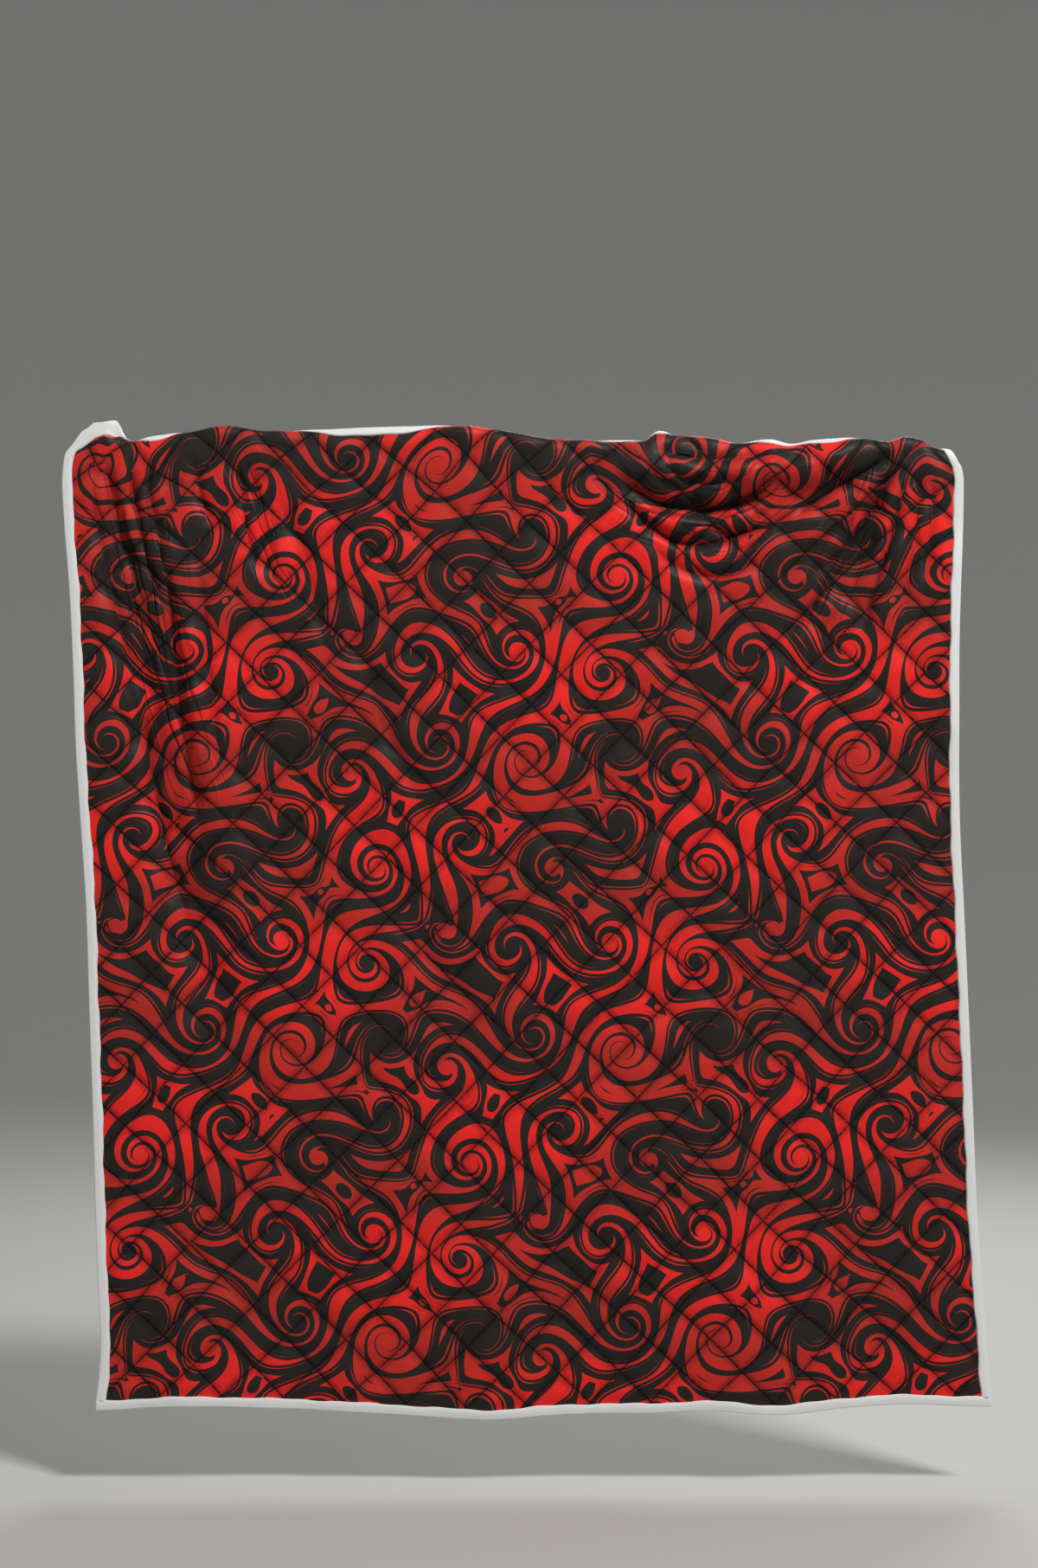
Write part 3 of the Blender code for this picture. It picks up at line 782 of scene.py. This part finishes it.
class Shader:
    """A material's node tree, with short calls that add and join nodes."""

    # Where the Mix node keeps its two colours and their blend
    MIX_ONE = 6
    MIX_TWO = 7
    MIX_BLEND = 2

    def __init__(self, name: str) -> None:
        """Start a material that holds only its surface shader and its output.

        Args:
            name: The material's name.
        """
        self.material = bpy.data.materials.new(name)
        self.material.use_nodes = True
        self.tree = self.material.node_tree
        self.surface = self.tree.nodes["Principled BSDF"]

    def fill(self, node: bpy.types.Node, inputs: Inputs) -> None:
        """Join a node's inputs to other sockets, or set them to constants.

        Args:
            node: The node.
            inputs: What each input gets, by its name or number.
        """
        for name, value in inputs.items():
            if isinstance(value, bpy.types.NodeSocket):
                self.tree.links.new(value, node.inputs[name])
            else:
                node.inputs[name].default_value = value

    def node(self, kind: str, inputs: Inputs, **settings: object) -> bpy.types.Node:
        """Add a node.

        Args:
            kind: What it is, as in its type's name after ShaderNode.
            inputs: What each input gets, by its name or number.
            settings: The node's own properties.

        Returns:
            The node.
        """
        node = self.tree.nodes.new("ShaderNode" + kind)
        for name, value in settings.items():
            setattr(node, name, value)
        self.fill(node, inputs)
        return node

    def dress(self, inputs: Inputs) -> bpy.types.Material:
        """Fill the surface shader's inputs and give the finished material."""
        self.fill(self.surface, inputs)
        return self.material

    def math(self, operation: str, *values: Socket | float) -> Socket:
        """A sum of one, two or three values."""
        return self.node("Math", dict(enumerate(values)), operation=operation).outputs[0]

    def plus(self, one: Socket | float, two: Socket | float) -> Socket:
        """Two values added."""
        return self.math("ADD", one, two)

    def minus(self, one: Socket | float, two: Socket | float) -> Socket:
        """The first value less the second."""
        return self.math("SUBTRACT", one, two)

    def times(self, one: Socket | float, two: Socket | float) -> Socket:
        """Two values multiplied. Of two masks, it is 1 where both are."""
        return self.math("MULTIPLY", one, two)

    def over(self, one: Socket | float, two: Socket | float) -> Socket:
        """The first value divided by the second."""
        return self.math("DIVIDE", one, two)

    def near(self, value: Socket, centre: Socket | float, reach: Socket | float) -> Socket:
        """1 where a value is within reach of a centre."""
        return self.math("COMPARE", value, centre, reach)

    def any(self, *values: Socket) -> Socket:
        """The highest of several values."""
        return reduce(partial(self.math, "MAXIMUM"), values)

    def dashes(self, along: Socket, length: float, share: float) -> Socket:
        """1 where a stitch of a row lies, which is a share of each length."""
        return self.math("LESS_THAN", self.math("FRACT", self.over(along, length)), share)

    def ramp(self, value: Socket, low: float, high: float, start: float, end: float) -> Socket:
        """Map low to high smoothly onto start to end."""
        inputs = dict(enumerate((value, low, high, start, end)))
        return self.node("MapRange", inputs, interpolation_type="SMOOTHSTEP").outputs[0]

    def parts(self, vector: Socket) -> tuple[Socket, ...]:
        """The three parts of a vector."""
        return tuple(self.node("SeparateXYZ", {0: vector}).outputs)

    def split(self, attribute: str) -> tuple[Socket, ...]:
        """The three parts of one of the mesh's vector attributes."""
        return self.parts(self.node("Attribute", {}, attribute_name=attribute).outputs["Vector"])

    def attribute(self, name: str) -> Socket:
        """One of the mesh's number attributes."""
        return self.node("Attribute", {}, attribute_name=name).outputs["Fac"]

    def cloth_place(self) -> tuple[Socket, ...]:
        """Distances across and down, from the cloth's own map."""
        return self.parts(self.node("UVMap", {}, uv_map=CLOTH_MAP).outputs[0])[:2]

    def vector(self, x: Socket | float, y: Socket | float) -> Socket:
        """Two values as one vector."""
        return self.node("CombineXYZ", {0: x, 1: y}).outputs[0]

    def noise(self, vector: Socket, scale: float, detail: float) -> Socket:
        """Soft noise of a vector, about 0.5."""
        inputs = {"Vector": vector, "Scale": scale, "Detail": detail}
        return self.node("TexNoise", inputs).outputs[0]

    def blend(self, share: Socket, one: Socket | Colour, two: Socket | Colour) -> Socket:
        """A colour between two others."""
        inputs = {0: share, self.MIX_ONE: one, self.MIX_TWO: two}
        return self.node("Mix", inputs, data_type="RGBA").outputs[self.MIX_BLEND]

    def bump(self, height: Socket, depth: float, under: Socket | None = None) -> Socket:
        """Raise a bump, alone or over another.

        Args:
            height: Its height, in parts of the depth.
            depth: How many metres proud a height of 1 stands.
            under: The bump below it, or None.

        Returns:
            The normal.
        """
        inputs = {"Strength": 1.0, "Distance": depth, "Height": height}
        if under is not None:
            inputs["Normal"] = under
        return self.node("Bump", inputs).outputs[0]


@dataclass(frozen=True)
class StitchRelief:
    """Fine relief of quilted cloth: weave, puckers beside the seams, stitches, and painted shade
    in grooves and creases.
    """

    quilting: Quilting
    thread: float = 0.0007
    stitch: float = 0.0036
    stitch_share: float = 0.72
    # Widths and strengths of the painted shade along the stitch lines, where a real groove holds
    # shadow
    groove_core: float = 0.0012
    groove: float = 0.0036
    groove_depth: float = 0.0002
    groove_evenness: float = 0.68
    ripple_low: float = 0.3
    ripple_high: float = 0.6
    shadow: float = 0.019
    shadow_shade: float = 0.54
    wobble: float = 0.0028
    wobble_scale: float = 28.0
    # How dark the painted shade is on the falling and the rising lines
    falling_shade: float = 1.0
    rising_shade: float = 0.86
    crease_pitch: float = 0.034
    crease_run: float = 2.2
    crease_reach: float = 0.060
    crease_depth: float = 0.0030
    crease_swell: float = 5.5
    # How dark the painted shade is in pulled creases and in narrow fold hollows
    crease_shade: float = 0.72
    hollow_shade: float = 0.78
    pucker: float = 0.0017
    pucker_length: float = 0.013
    pucker_reach: float = 0.020
    weave: float = 0.00005
    weave_scale: float = 1400.0

    def seam_set(self, shader: Shader, line: Socket, along: Socket,
                 shade: float) -> tuple[Socket, Socket, Socket]:
        """One of the two sets of parallel stitch lines.

        Args:
            shader: The material to build in.
            line: Distance across from the set's first line, which the others repeat.
            along: The same for the other set, which counts the way along a line.
            shade: How dark the painted shade along the grooves is.

        Returns:
            The puckers' height from 0 to 1, the painted shade of the closest line's groove and
            the band beside it from 0 to 1, and 1 where a stitch shows.
        """
        reach = shader.over(line, self.quilting.diamond)
        run = shader.times(along, SLANT)
        stray = shader.noise(shader.vector(run, reach), self.wobble_scale, 1.0)
        stray = shader.times(shader.minus(stray, 0.5), self.wobble)
        wrapped = shader.math("PINGPONG", shader.plus(line, stray), self.quilting.diamond / 2)
        far = shader.times(wrapped, SLANT)
        steps = shader.over(run, self.pucker_length)
        ripple = shader.noise(shader.vector(steps, reach), 1.0, 1.0)
        pucker = shader.times(ripple, shader.ramp(far, 0.0, self.pucker_reach, 1.0, 0.0))
        # Painted shade: a dark core on the stitch line and a fainter band beside it, uneven along
        # the run
        core = shader.ramp(far, self.groove_core, self.groove, shade, 0.0)
        even = shader.ramp(ripple, self.ripple_low, self.ripple_high, self.groove_evenness, 1.0)
        shadow = shader.ramp(far, 0.0, self.shadow, shade * self.shadow_shade, 0.0)
        thin = shader.math("LESS_THAN", far, self.thread)
        thread = shader.times(thin, shader.dashes(run, self.stitch, self.stitch_share))
        return pucker, shader.any(shader.times(core, even), shadow), thread

    def seams(self, shader: Shader) -> tuple[Socket, Socket, Socket]:
        """Both sets of stitch lines together.

        Args:
            shader: The material to build in.

        Returns:
            What seam_set returns, for the two sets as one.
        """
        across, down = shader.cloth_place()
        from_left = shader.minus(across, self.quilting.crossing_across)
        from_top = shader.minus(down, self.quilting.crossing_down)
        falling = shader.minus(from_left, from_top)
        rising = shader.plus(from_left, from_top)
        one = self.seam_set(shader, falling, rising, self.falling_shade)
        two = self.seam_set(shader, rising, falling, self.rising_shade)
        return shader.plus(one[0], two[0]), shader.any(one[1], two[1]), shader.any(one[2], two[2])

    def creases(self, shader: Shader) -> tuple[Socket, Socket]:
        """The fine pulled creases.

        In each band a noise is stretched along the route. The cloth swells with it, and a
        crease follows its middle value.

        Args:
            shader: The material to build in.

        Returns:
            The height, where a crease is 1 deep, and how far inside a crease each point is.
        """
        swells = []
        depths = []
        for number in range(len(GATHERS)):
            apart, along, strength = shader.split(f"gather_{number}")
            over = shader.over(apart, self.crease_pitch)
            run = shader.times(along, self.crease_run)
            soft = shader.minus(shader.noise(shader.vector(over, run), 1.0, 1.0), 0.5)
            swells.append(shader.times(soft, strength))
            off = shader.math("ABSOLUTE", soft)
            line = shader.ramp(off, 0.0, self.crease_reach, 1.0, 0.0)
            depths.append(shader.times(line, strength))
        height = shader.times(reduce(shader.plus, swells), self.crease_swell)
        depth = shader.any(*depths)
        return shader.minus(height, depth), depth

    def build(self, shader: Shader) -> tuple[Socket, Socket, Socket]:
        """Add the relief to a material.

        Args:
            shader: The material to build in.

        Returns:
            The bumped normal, the painted shade of grooves, creases and fold hollows, and 1 where
            a stitch shows.
        """
        puckered, groove, thread = self.seams(shader)
        height, crease = self.creases(shader)
        weave = shader.noise(shader.vector(*shader.cloth_place()), self.weave_scale, 0.0)
        fine = shader.bump(weave, self.weave)
        wrinkled = shader.bump(puckered, self.pucker, fine)
        pulled = shader.bump(height, self.crease_depth, wrinkled)
        sunk = shader.bump(shader.minus(thread, groove), self.groove_depth, pulled)
        # Painted shade: creases and narrow fold hollows darken the colour as well as the grooves
        crease = shader.times(crease, self.crease_shade)
        painted_hollow_shade = shader.times(shader.attribute("painted_hollow_shade"), self.hollow_shade)
        return sunk, shader.any(groove, crease, painted_hollow_shade), thread


@dataclass(frozen=True)
class PrintFinish:
    """Smooth printed cloth: strokes in two reds on warm black, under a soft satin sheen, with
    painted shade in grooves and creases.
    """

    relief: StitchRelief
    bright: Colour = (0.76, 0.018, 0.014, 1.0)
    brick: Colour = (0.40, 0.022, 0.015, 1.0)
    ground: Colour = (0.017, 0.013, 0.011, 1.0)
    # Near black of the stitches, which the painted shade also blends towards
    thread: Colour = (0.003, 0.002, 0.002, 1.0)
    eye_inner: float = 0.011
    eye_outer: float = 0.027
    plain_eye: float = 0.023
    least_reach: float = 0.0001
    line_place: float = 0.0070
    line_half: float = 0.0014
    vein_from: float = 0.018
    vein_full: float = 0.040
    line_from: float = 0.014
    line_full: float = 0.034
    inlay_place: float = 0.028
    inlay_half: float = 0.008
    island_place: float = 0.034
    island_half: float = 0.009
    roughness: float = 0.50
    groove_roughness: float = 0.95
    sheen: float = 0.03
    sheen_roughness: float = 0.4
    gloss: float = 0.16

    def red(self, shader: Shader) -> Socket:
        """1 where the print is red.

        The phase is the stored rest, plus wind times the logarithm of the distance to the
        whorl, plus arms times the angle. A stroke is where the phase is within the swell of a
        whole turn. Divided by the phase's slope, that also gives the distance in from the
        stroke's edge, for a dark vein and inlay inside it and a red line and island outside.

        Args:
            shader: The material to build in.

        Returns:
            The mask.
        """
        x, y, rest = shader.split("way")
        arms, wind, eye = shader.split("whorl")
        swell = shader.attribute("swell")
        squares = shader.plus(shader.times(x, x), shader.times(y, y))
        reach = shader.math("MAXIMUM", shader.math("SQRT", squares), self.least_reach)
        turned = shader.times(arms, shader.math("ARCTAN2", y, x))
        tightened = shader.times(wind, shader.math("LOGARITHM", reach, float(np.e)))
        phase = shader.plus(rest, shader.plus(turned, tightened))
        from_middle = shader.math("PINGPONG", phase, HALF_TURN)
        in_eye = shader.ramp(reach, self.eye_inner, self.eye_outer, 1.0, 0.0)
        half = shader.plus(swell, shader.times(in_eye, shader.minus(eye, swell)))
        metres = shader.over(reach, shader.attribute("pace"))
        inside = shader.times(shader.minus(half, from_middle), metres)
        outside = shader.times(inside, -1.0)
        width = shader.times(half, metres)
        gap = shader.times(shader.minus(HALF_TURN, half), metres)
        open_part = shader.math("GREATER_THAN", reach, self.plain_eye)
        vein_half = shader.ramp(width, self.vein_from, self.vein_full, 0.0, self.line_half)
        vein = shader.near(inside, self.line_place, vein_half)
        dark = shader.any(vein, shader.near(inside, self.inlay_place, self.inlay_half))
        stroke = shader.math("GREATER_THAN", inside, 0.0)
        stroke = shader.times(stroke, shader.minus(1.0, shader.times(dark, open_part)))
        thin_half = shader.ramp(gap, self.line_from, self.line_full, 0.0, self.line_half)
        line = shader.near(outside, self.line_place, thin_half)
        island = shader.near(outside, self.island_place, self.island_half)
        return shader.any(stroke, shader.times(shader.any(line, island), open_part))

    def build(self) -> bpy.types.Material:
        """Make the material.

        Returns:
            The material.
        """
        shader = Shader("printed_cloth")
        normal, shade, thread = self.relief.build(shader)
        ink = shader.blend(shader.attribute("tone"), self.brick, self.bright)
        colour = shader.blend(self.red(shader), self.ground, ink)
        # Painted shade: grooves, creases and fold hollows blend the print towards near black
        colour = shader.blend(shade, colour, self.thread)
        return shader.dress({
            "Base Color": shader.blend(thread, colour, self.thread),
            "Normal": normal,
            "Roughness": shader.ramp(shade, 0.0, 1.0, self.roughness, self.groove_roughness),
            "Sheen Weight": self.sheen,
            "Sheen Roughness": self.sheen_roughness,
            "Specular IOR Level": self.gloss,
        })


@dataclass(frozen=True)
class WhiteQuiltFinish:
    """Plain white backing, quilted with white thread, with painted shade in grooves and creases.
    """

    relief: StitchRelief
    cloth: Colour = (0.72, 0.715, 0.70, 1.0)
    # Grey of the painted shade in grooves, creases and fold hollows
    seam: Colour = (0.50, 0.49, 0.475, 1.0)
    thread: Colour = (0.80, 0.80, 0.79, 1.0)
    roughness: float = 0.7
    sheen: float = 0.2

    def build(self) -> bpy.types.Material:
        """Make the material.

        Returns:
            The material.
        """
        shader = Shader("white_backing")
        normal, shade, thread = self.relief.build(shader)
        # Painted shade: grooves, creases and fold hollows blend the white towards grey
        colour = shader.blend(shade, self.cloth, self.seam)
        return shader.dress({
            "Base Color": shader.blend(thread, colour, self.thread),
            "Normal": normal,
            "Roughness": self.roughness,
            "Sheen Weight": self.sheen,
        })


@dataclass(frozen=True)
class BindingFinish:
    """Plain white woven strip, with a row of stitches along each inner edge."""

    cloth: Colour = (0.66, 0.66, 0.65, 1.0)
    seam: Colour = (0.47, 0.46, 0.45, 1.0)
    threads: float = 2200.0
    weave: float = 0.00006
    crumple: float = 0.0006
    crumple_scale: float = 60.0
    crumple_detail: float = 2.0
    stitch: float = 0.0034
    stitch_share: float = 0.7
    stitch_place: float = 0.0020
    stitch_half: float = 0.0004
    rim: float = 0.004
    rim_height: float = 0.0004
    roughness: float = 0.65
    sheen: float = 0.15

    def build(self) -> bpy.types.Material:
        """Make the material. Its weave is the product of a sine along and one across.

        Returns:
            The material.
        """
        shader = Shader("white_binding")
        along, inward = shader.cloth_place()
        warp = shader.math("SINE", shader.times(along, self.threads))
        weft = shader.math("SINE", shader.times(inward, self.threads))
        place = shader.vector(along, inward)
        uneven = shader.noise(place, self.crumple_scale, self.crumple_detail)
        edge = shader.attribute("edge")
        rim = shader.ramp(edge, 0.0, self.rim, 0.0, 1.0)
        normal = shader.bump(shader.times(warp, weft), self.weave)
        normal = shader.bump(uneven, self.crumple, normal)
        normal = shader.bump(rim, self.rim_height, normal)
        row = shader.near(edge, self.stitch_place, self.stitch_half)
        stitch = shader.times(row, shader.dashes(along, self.stitch, self.stitch_share))
        return shader.dress({
            "Base Color": shader.blend(stitch, self.cloth, self.seam),
            "Normal": normal,
            "Roughness": self.roughness,
            "Sheen Weight": self.sheen,
        })


def make_piece(name: str, points: Array, faces: Array, place: Array,
               attributes: dict[str, Array], material: bpy.types.Material) -> bpy.types.Object:
    """Make a smooth mesh object from arrays.

    Args:
        name: The piece's name.
        points: One row of x, y and z for each point.
        faces: One row of corners for each face.
        place: Cloth coordinates of each point, which become the map named cloth.
        attributes: Numbers or vectors for each point or for each face's corner, by name.
        material: The finish.

    Returns:
        The object, linked to the scene.
    """
    mesh = bpy.data.meshes.new(name)
    mesh.vertices.add(len(points))
    mesh.vertices.foreach_set("co", points.astype(np.float32).ravel())
    corners = faces.ravel().astype(np.int32)
    mesh.loops.add(corners.size)
    mesh.loops.foreach_set("vertex_index", corners)
    mesh.polygons.add(len(faces))
    starts = np.arange(len(faces), dtype=np.int32) * faces.shape[1]
    mesh.polygons.foreach_set("loop_start", starts)
    mesh.update(calc_edges=True)
    cloth_map = mesh.uv_layers.new(name=CLOTH_MAP)
    cloth_map.data.foreach_set("uv", place[corners].astype(np.float32).ravel())
    for label, values in attributes.items():
        kind, key = ("FLOAT_VECTOR", "vector") if values.ndim > 1 else ("FLOAT", "value")
        domain = "CORNER" if len(values) == corners.size else "POINT"
        attribute = mesh.attributes.new(label, kind, domain)
        attribute.data.foreach_set(key, values.astype(np.float32).ravel())
    mesh.shade_smooth()
    mesh.materials.append(material)
    piece = bpy.data.objects.new(name, mesh)
    bpy.context.scene.collection.objects.link(piece)
    return piece


def settle_piece(piece: bpy.types.Object) -> None:
    """Args:
        piece: The piece.
    """
    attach(piece, BODY)
    LOG.info("%s: %d faces", piece.name, len(piece.data.polygons))


@dataclass(frozen=True)
class QuiltedPanel:
    """The printed face and the white back, stitched together in diamonds."""

    drape: Drape
    quilting: Quilting
    relief: StitchRelief
    front_cells: int = 20
    back_cells: int = 16

    def face(self, name: str, face: Face, cells: int, material: bpy.types.Material,
             cloth_print: WhorlPrint | None) -> bpy.types.Object:
        """One face of the quilt.

        Args:
            name: The piece's name.
            face: Which face it is.
            cells: Squares from one crossing of the stitch lines to the next.
            material: The finish.
            cloth_print: The print, or None on a plain face.

        Returns:
            The object.
        """
        u, v, faces = self.quilting.grid(cells)
        points = self.drape.layer(u, v, face * self.quilting.offset(u, v, face))
        if face is Face.BACK:
            faces = faces[:, ::-1]
        across = u.ravel()
        down = v.ravel()
        attributes = self.drape.gathers(u, v, face)
        if cloth_print is not None:
            attributes.update(cloth_print.strokes(across, down, faces))
            attributes["swell"] = cloth_print.swell(across, down)
            attributes["tone"] = cloth_print.tone(across, down)
        place = np.stack((across, down), axis=-1)
        return make_piece(name, points.reshape(-1, 3), faces, place, attributes, material)

    def build(self) -> None:
        """Build both faces and set them in place of the quilt's solid."""
        printed = PrintFinish(self.relief).build()
        white = WhiteQuiltFinish(self.relief).build()
        front = self.face("printed_face", Face.FRONT, self.front_cells, printed, WhorlPrint())
        back = self.face("white_back", Face.BACK, self.back_cells, white, None)
        for piece in (front, back):
            settle_piece(piece)
            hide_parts("quilt")


@dataclass(frozen=True)
class BindingStrip:
    """One white strip folded round a raw edge."""

    drape: Drape
    quilting: Quilting
    side: Side
    lift: float = 0.0008
    seam_lift: float = 0.35
    lift_slope: float = 6.0
    bulge: float = 0.0009
    cloth: float = 0.0006
    spacing: float = 0.0058
    leaf_rows: int = 7
    fold_rows: int = 6
    end_rows: int = 6
    tuck: float = 0.004
    tuck_drop: float = 0.6
    end_round: float = 0.004
    waver: float = 0.0013
    slow_wave: float = 31.0
    slow_start: float = 1.7
    quick_wave: float = 83.0
    quick_start: float = 0.4
    quick_share: float = 0.6

    @property
    def is_end(self) -> bool:
        """Whether the strip runs across the top or the bottom."""
        return self.side in (Side.TOP, Side.BOTTOM)

    def stations(self) -> Array:
        """Distances along the strip, closer together where its ends are rounded.

        Returns:
            The distances.
        """
        full = self.drape.width if self.is_end else self.drape.length
        count = int(np.ceil(full / self.spacing))
        if self.is_end:
            bend = np.linspace(0, np.pi / 2, self.end_rows)
            near_end = self.end_round * (1 - np.cos(bend))
            middle = np.linspace(self.end_round, full - self.end_round, count)
            return np.concatenate((near_end[:-1], middle, full - near_end[-2::-1]))
        first = self.quilting.binding - self.tuck
        return np.linspace(first, full - first, count)

    def leaf_width(self, along: Array, face: Face) -> Array:
        """How far the strip reaches in from the raw edge: its width and two sines along it.

        Args:
            along: Distance along the strip of each point.
            face: The face that the leaf lies on.

        Returns:
            The reach at each point.
        """
        slow = np.sin(along * self.slow_wave + self.slow_start * face)
        quick = np.sin(along * self.quick_wave + self.quick_start)
        width = self.quilting.binding + self.waver * (slow + self.quick_share * quick)
        if self.side is Side.TOP and face is Face.FRONT:
            width = width + CORNER_PATCH.at(along)
        return width

    def section(self) -> tuple[Array, Array, Array, Array]:
        """Lay out the strip's grid, from the front leaf's inner edge round to the one behind.

        Returns:
            For each point the distance along the strip, its share of the leaf's width in from
            the fold, its side (1 in front, -1 behind, and in steps round the raw edge), and
            how far out it is in the fold's half circle.
        """
        leaf = np.linspace(0, 1, self.leaf_rows)
        angle = np.linspace(0, np.pi, self.fold_rows + 2)[1:-1]
        still = np.zeros(self.leaf_rows)
        share = np.concatenate((1 - leaf, np.zeros(self.fold_rows), leaf))
        side = np.concatenate((still + 1, np.cos(angle), still - 1))
        bow = np.concatenate((still, np.sin(angle), still))
        along, share = np.meshgrid(self.stations(), share)
        side = np.broadcast_to(side[:, None], along.shape)
        bow = np.broadcast_to(bow[:, None], along.shape)
        return along, share, side, bow

    def finish_ends(self, along: Array, side: Array, offset: Array) -> Array:
        """Draw the strip's offset in at its ends.

        An end strip's ends close on a quarter circle, and a side strip's slip under those.

        Args:
            along: Distance along the strip of each point.
            side: Which side of the cloth it is on.
            offset: Its distance from the middle surface.

        Returns:
            The new offset.
        """
        if self.is_end:
            from_end = np.minimum(along, self.drape.width - along)
            short = 1 - np.clip(from_end / self.end_round, 0, 1)
            return offset * np.sqrt(1 - short**2)
        first = self.quilting.binding
        from_end = np.minimum(along - first, self.drape.length - first - along)
        return offset - side * self.lift * self.tuck_drop * (1 - ease(from_end / self.tuck))

    def build(self) -> None:
        """Build the strip as a thin closed sheet in the shape of a U round the edge.

        Across the strip the parameter runs from the front leaf's inner edge to the raw edge,
        half round it, and back to the inner edge behind. The leaves lie on the quilt's two
        faces, a little lifted, with a low arch between the seam and the fold.
        """
        along, share, side, bow = self.section()
        front, back = (self.leaf_width(along, face) for face in Face)
        width = np.where(side > 0, front, back)
        seam = self.quilting.seam_thickness / 2
        fold_radius = seam + self.lift
        inward = fold_radius + share * (width - fold_radius) - fold_radius * bow
        inward = np.maximum(inward, 0.0)
        across, down = self.place(along, inward)
        rising = ease((1 - share) * self.lift_slope)
        lift = self.lift * (self.seam_lift + (1 - self.seam_lift) * rising)
        arch = self.bulge * np.sin(np.pi * share) ** 2
        body = seam + self.quilting.swollen(across, down, side)
        offset = self.finish_ends(along, side, side * (body + lift + arch))
        points = self.drape.layer(across, down, offset)
        faces = quads(np.arange(along.size).reshape(along.shape))
        if self.side in (Side.BOTTOM, Side.LEFT):
            faces = faces[:, ::-1]
        wrapped = np.where(side > 0, inward, -inward)
        place = np.stack((along.ravel(), wrapped.ravel()), axis=-1)
        attributes = {"edge": ((1 - share) * width).ravel()}
        piece = make_piece(self.side.value + "_strip", points.reshape(-1, 3), faces, place,
                           attributes, BindingFinish().build())
        thick = piece.modifiers.new("cloth", "SOLIDIFY")
        thick.thickness = self.cloth
        thick.offset = -1.0
        settle_piece(piece)
        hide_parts(self.side.value)

    def place(self, along: Array, inward: Array) -> tuple[Array, Array]:
        """Turn places on the strip into places on the cloth.

        Args:
            along: Distance along the strip of each point.
            inward: Distance in from the raw edge.

        Returns:
            Distances across and down.
        """
        if self.side is Side.TOP:
            return along, inward
        if self.side is Side.BOTTOM:
            return along, self.drape.length - inward
        if self.side is Side.LEFT:
            return inward, along
        return self.drape.width - inward, along


@dataclass(frozen=True)
class Studio:
    """Pale floor, soft lights and the camera, square on to the cloth."""

    centre_x: float = 0.0117
    centre_z: float = -0.791
    distance: float = 7.0
    view_height: float = 3.5406
    sensor: float = 36.0
    far: float = 200.0
    aim: tuple[float, float, float] = (0.0, 0.0, -1.1)
    daylight: float = 0.27
    floor: float = -2.37
    floor_colour: Colour = (0.43, 0.426, 0.42, 1.0)
    floor_roughness: float = 0.8
    flat_rings: tuple[float, ...] = (0.0, 3.0, 6.0)
    flat: float = 9.0
    sweep: float = 12.0
    bend_rings: int = 16
    spokes: int = 96

    def light(self, lamp: Lamp) -> None:
        """Add an area light that points at the cloth.

        Args:
            lamp: Its row of the table.
        """
        data = bpy.data.lights.new(lamp.name, "AREA")
        data.size = lamp.size
        data.energy = lamp.power
        item = bpy.data.objects.new(lamp.name, data)
        item.location = lamp.place
        towards = Vector(self.aim) - Vector(lamp.place)
        item.rotation_euler = towards.to_track_quat("-Z", "Y").to_euler()
        bpy.context.scene.collection.objects.link(item)

    def camera(self) -> None:
        """Add the camera. Its lens is the sensor times the distance over the view's height."""
        data = bpy.data.cameras.new("camera")
        data.sensor_fit = "VERTICAL"
        data.sensor_height = self.sensor
        data.lens = self.sensor * self.distance / self.view_height
        data.clip_end = self.far
        camera = bpy.data.objects.new("camera", data)
        camera.location = (self.centre_x, -self.distance, self.centre_z)
        camera.rotation_euler = (np.pi / 2, 0.0, 0.0)
        bpy.context.scene.collection.objects.link(camera)
        bpy.context.scene.camera = camera

    def surroundings(self) -> None:
        """Add a plain white sky and set the plain view."""
        world = bpy.data.worlds.new("studio")
        world.use_nodes = True
        sky = world.node_tree.nodes["Background"]
        sky.inputs["Color"].default_value = (1.0, 1.0, 1.0, 1.0)
        sky.inputs["Strength"].default_value = self.daylight
        bpy.context.scene.world = world
        bpy.context.scene.view_settings.view_transform = "Standard"

    def floor_bowl(self) -> None:
        """Add the floor: a flat disc whose rim sweeps up, turned round the upright axis."""
        bend = np.linspace(0, np.pi / 2, self.bend_rings)
        reach = np.concatenate((self.flat_rings, self.flat + self.sweep * np.sin(bend)))
        level = np.zeros(len(self.flat_rings))
        rise = np.concatenate((level, self.sweep * (1 - np.cos(bend))))
        angle = np.linspace(0, TURN, self.spokes + 1)
        ring, way = np.meshgrid(np.arange(len(reach)), angle[:-1])
        x = reach[ring] * np.cos(way)
        y = reach[ring] * np.sin(way)
        points = np.stack((x, y, self.floor + rise[ring]), axis=-1).reshape(-1, 3)
        numbers = np.arange(ring.size).reshape(ring.shape)
        faces = quads(np.concatenate((numbers, numbers[:1])))
        finish = {"Base Color": self.floor_colour, "Roughness": self.floor_roughness}
        material = Shader("pale_floor").dress(finish)
        floor = make_piece("floor", points, faces, points[:, :2], {}, material)

    def build(self) -> None:
        """Add everything that isn't part of the object."""
        self.camera()
        for lamp in LAMPS:
            self.light(lamp)
        self.surroundings()
        self.floor_bowl()
        LOG.info("studio: %d lamps", len(LAMPS))


def main() -> None:
    """Build the bedspread and its studio."""
    logging.basicConfig(level=logging.INFO)
    drape = Drape()
    quilting = Quilting(drape)
    QuiltedPanel(drape, quilting, StitchRelief(quilting)).build()
    for side in Side:
        BindingStrip(drape, quilting, side).build()
    Studio().build()


if __name__ == "__main__":
    main()
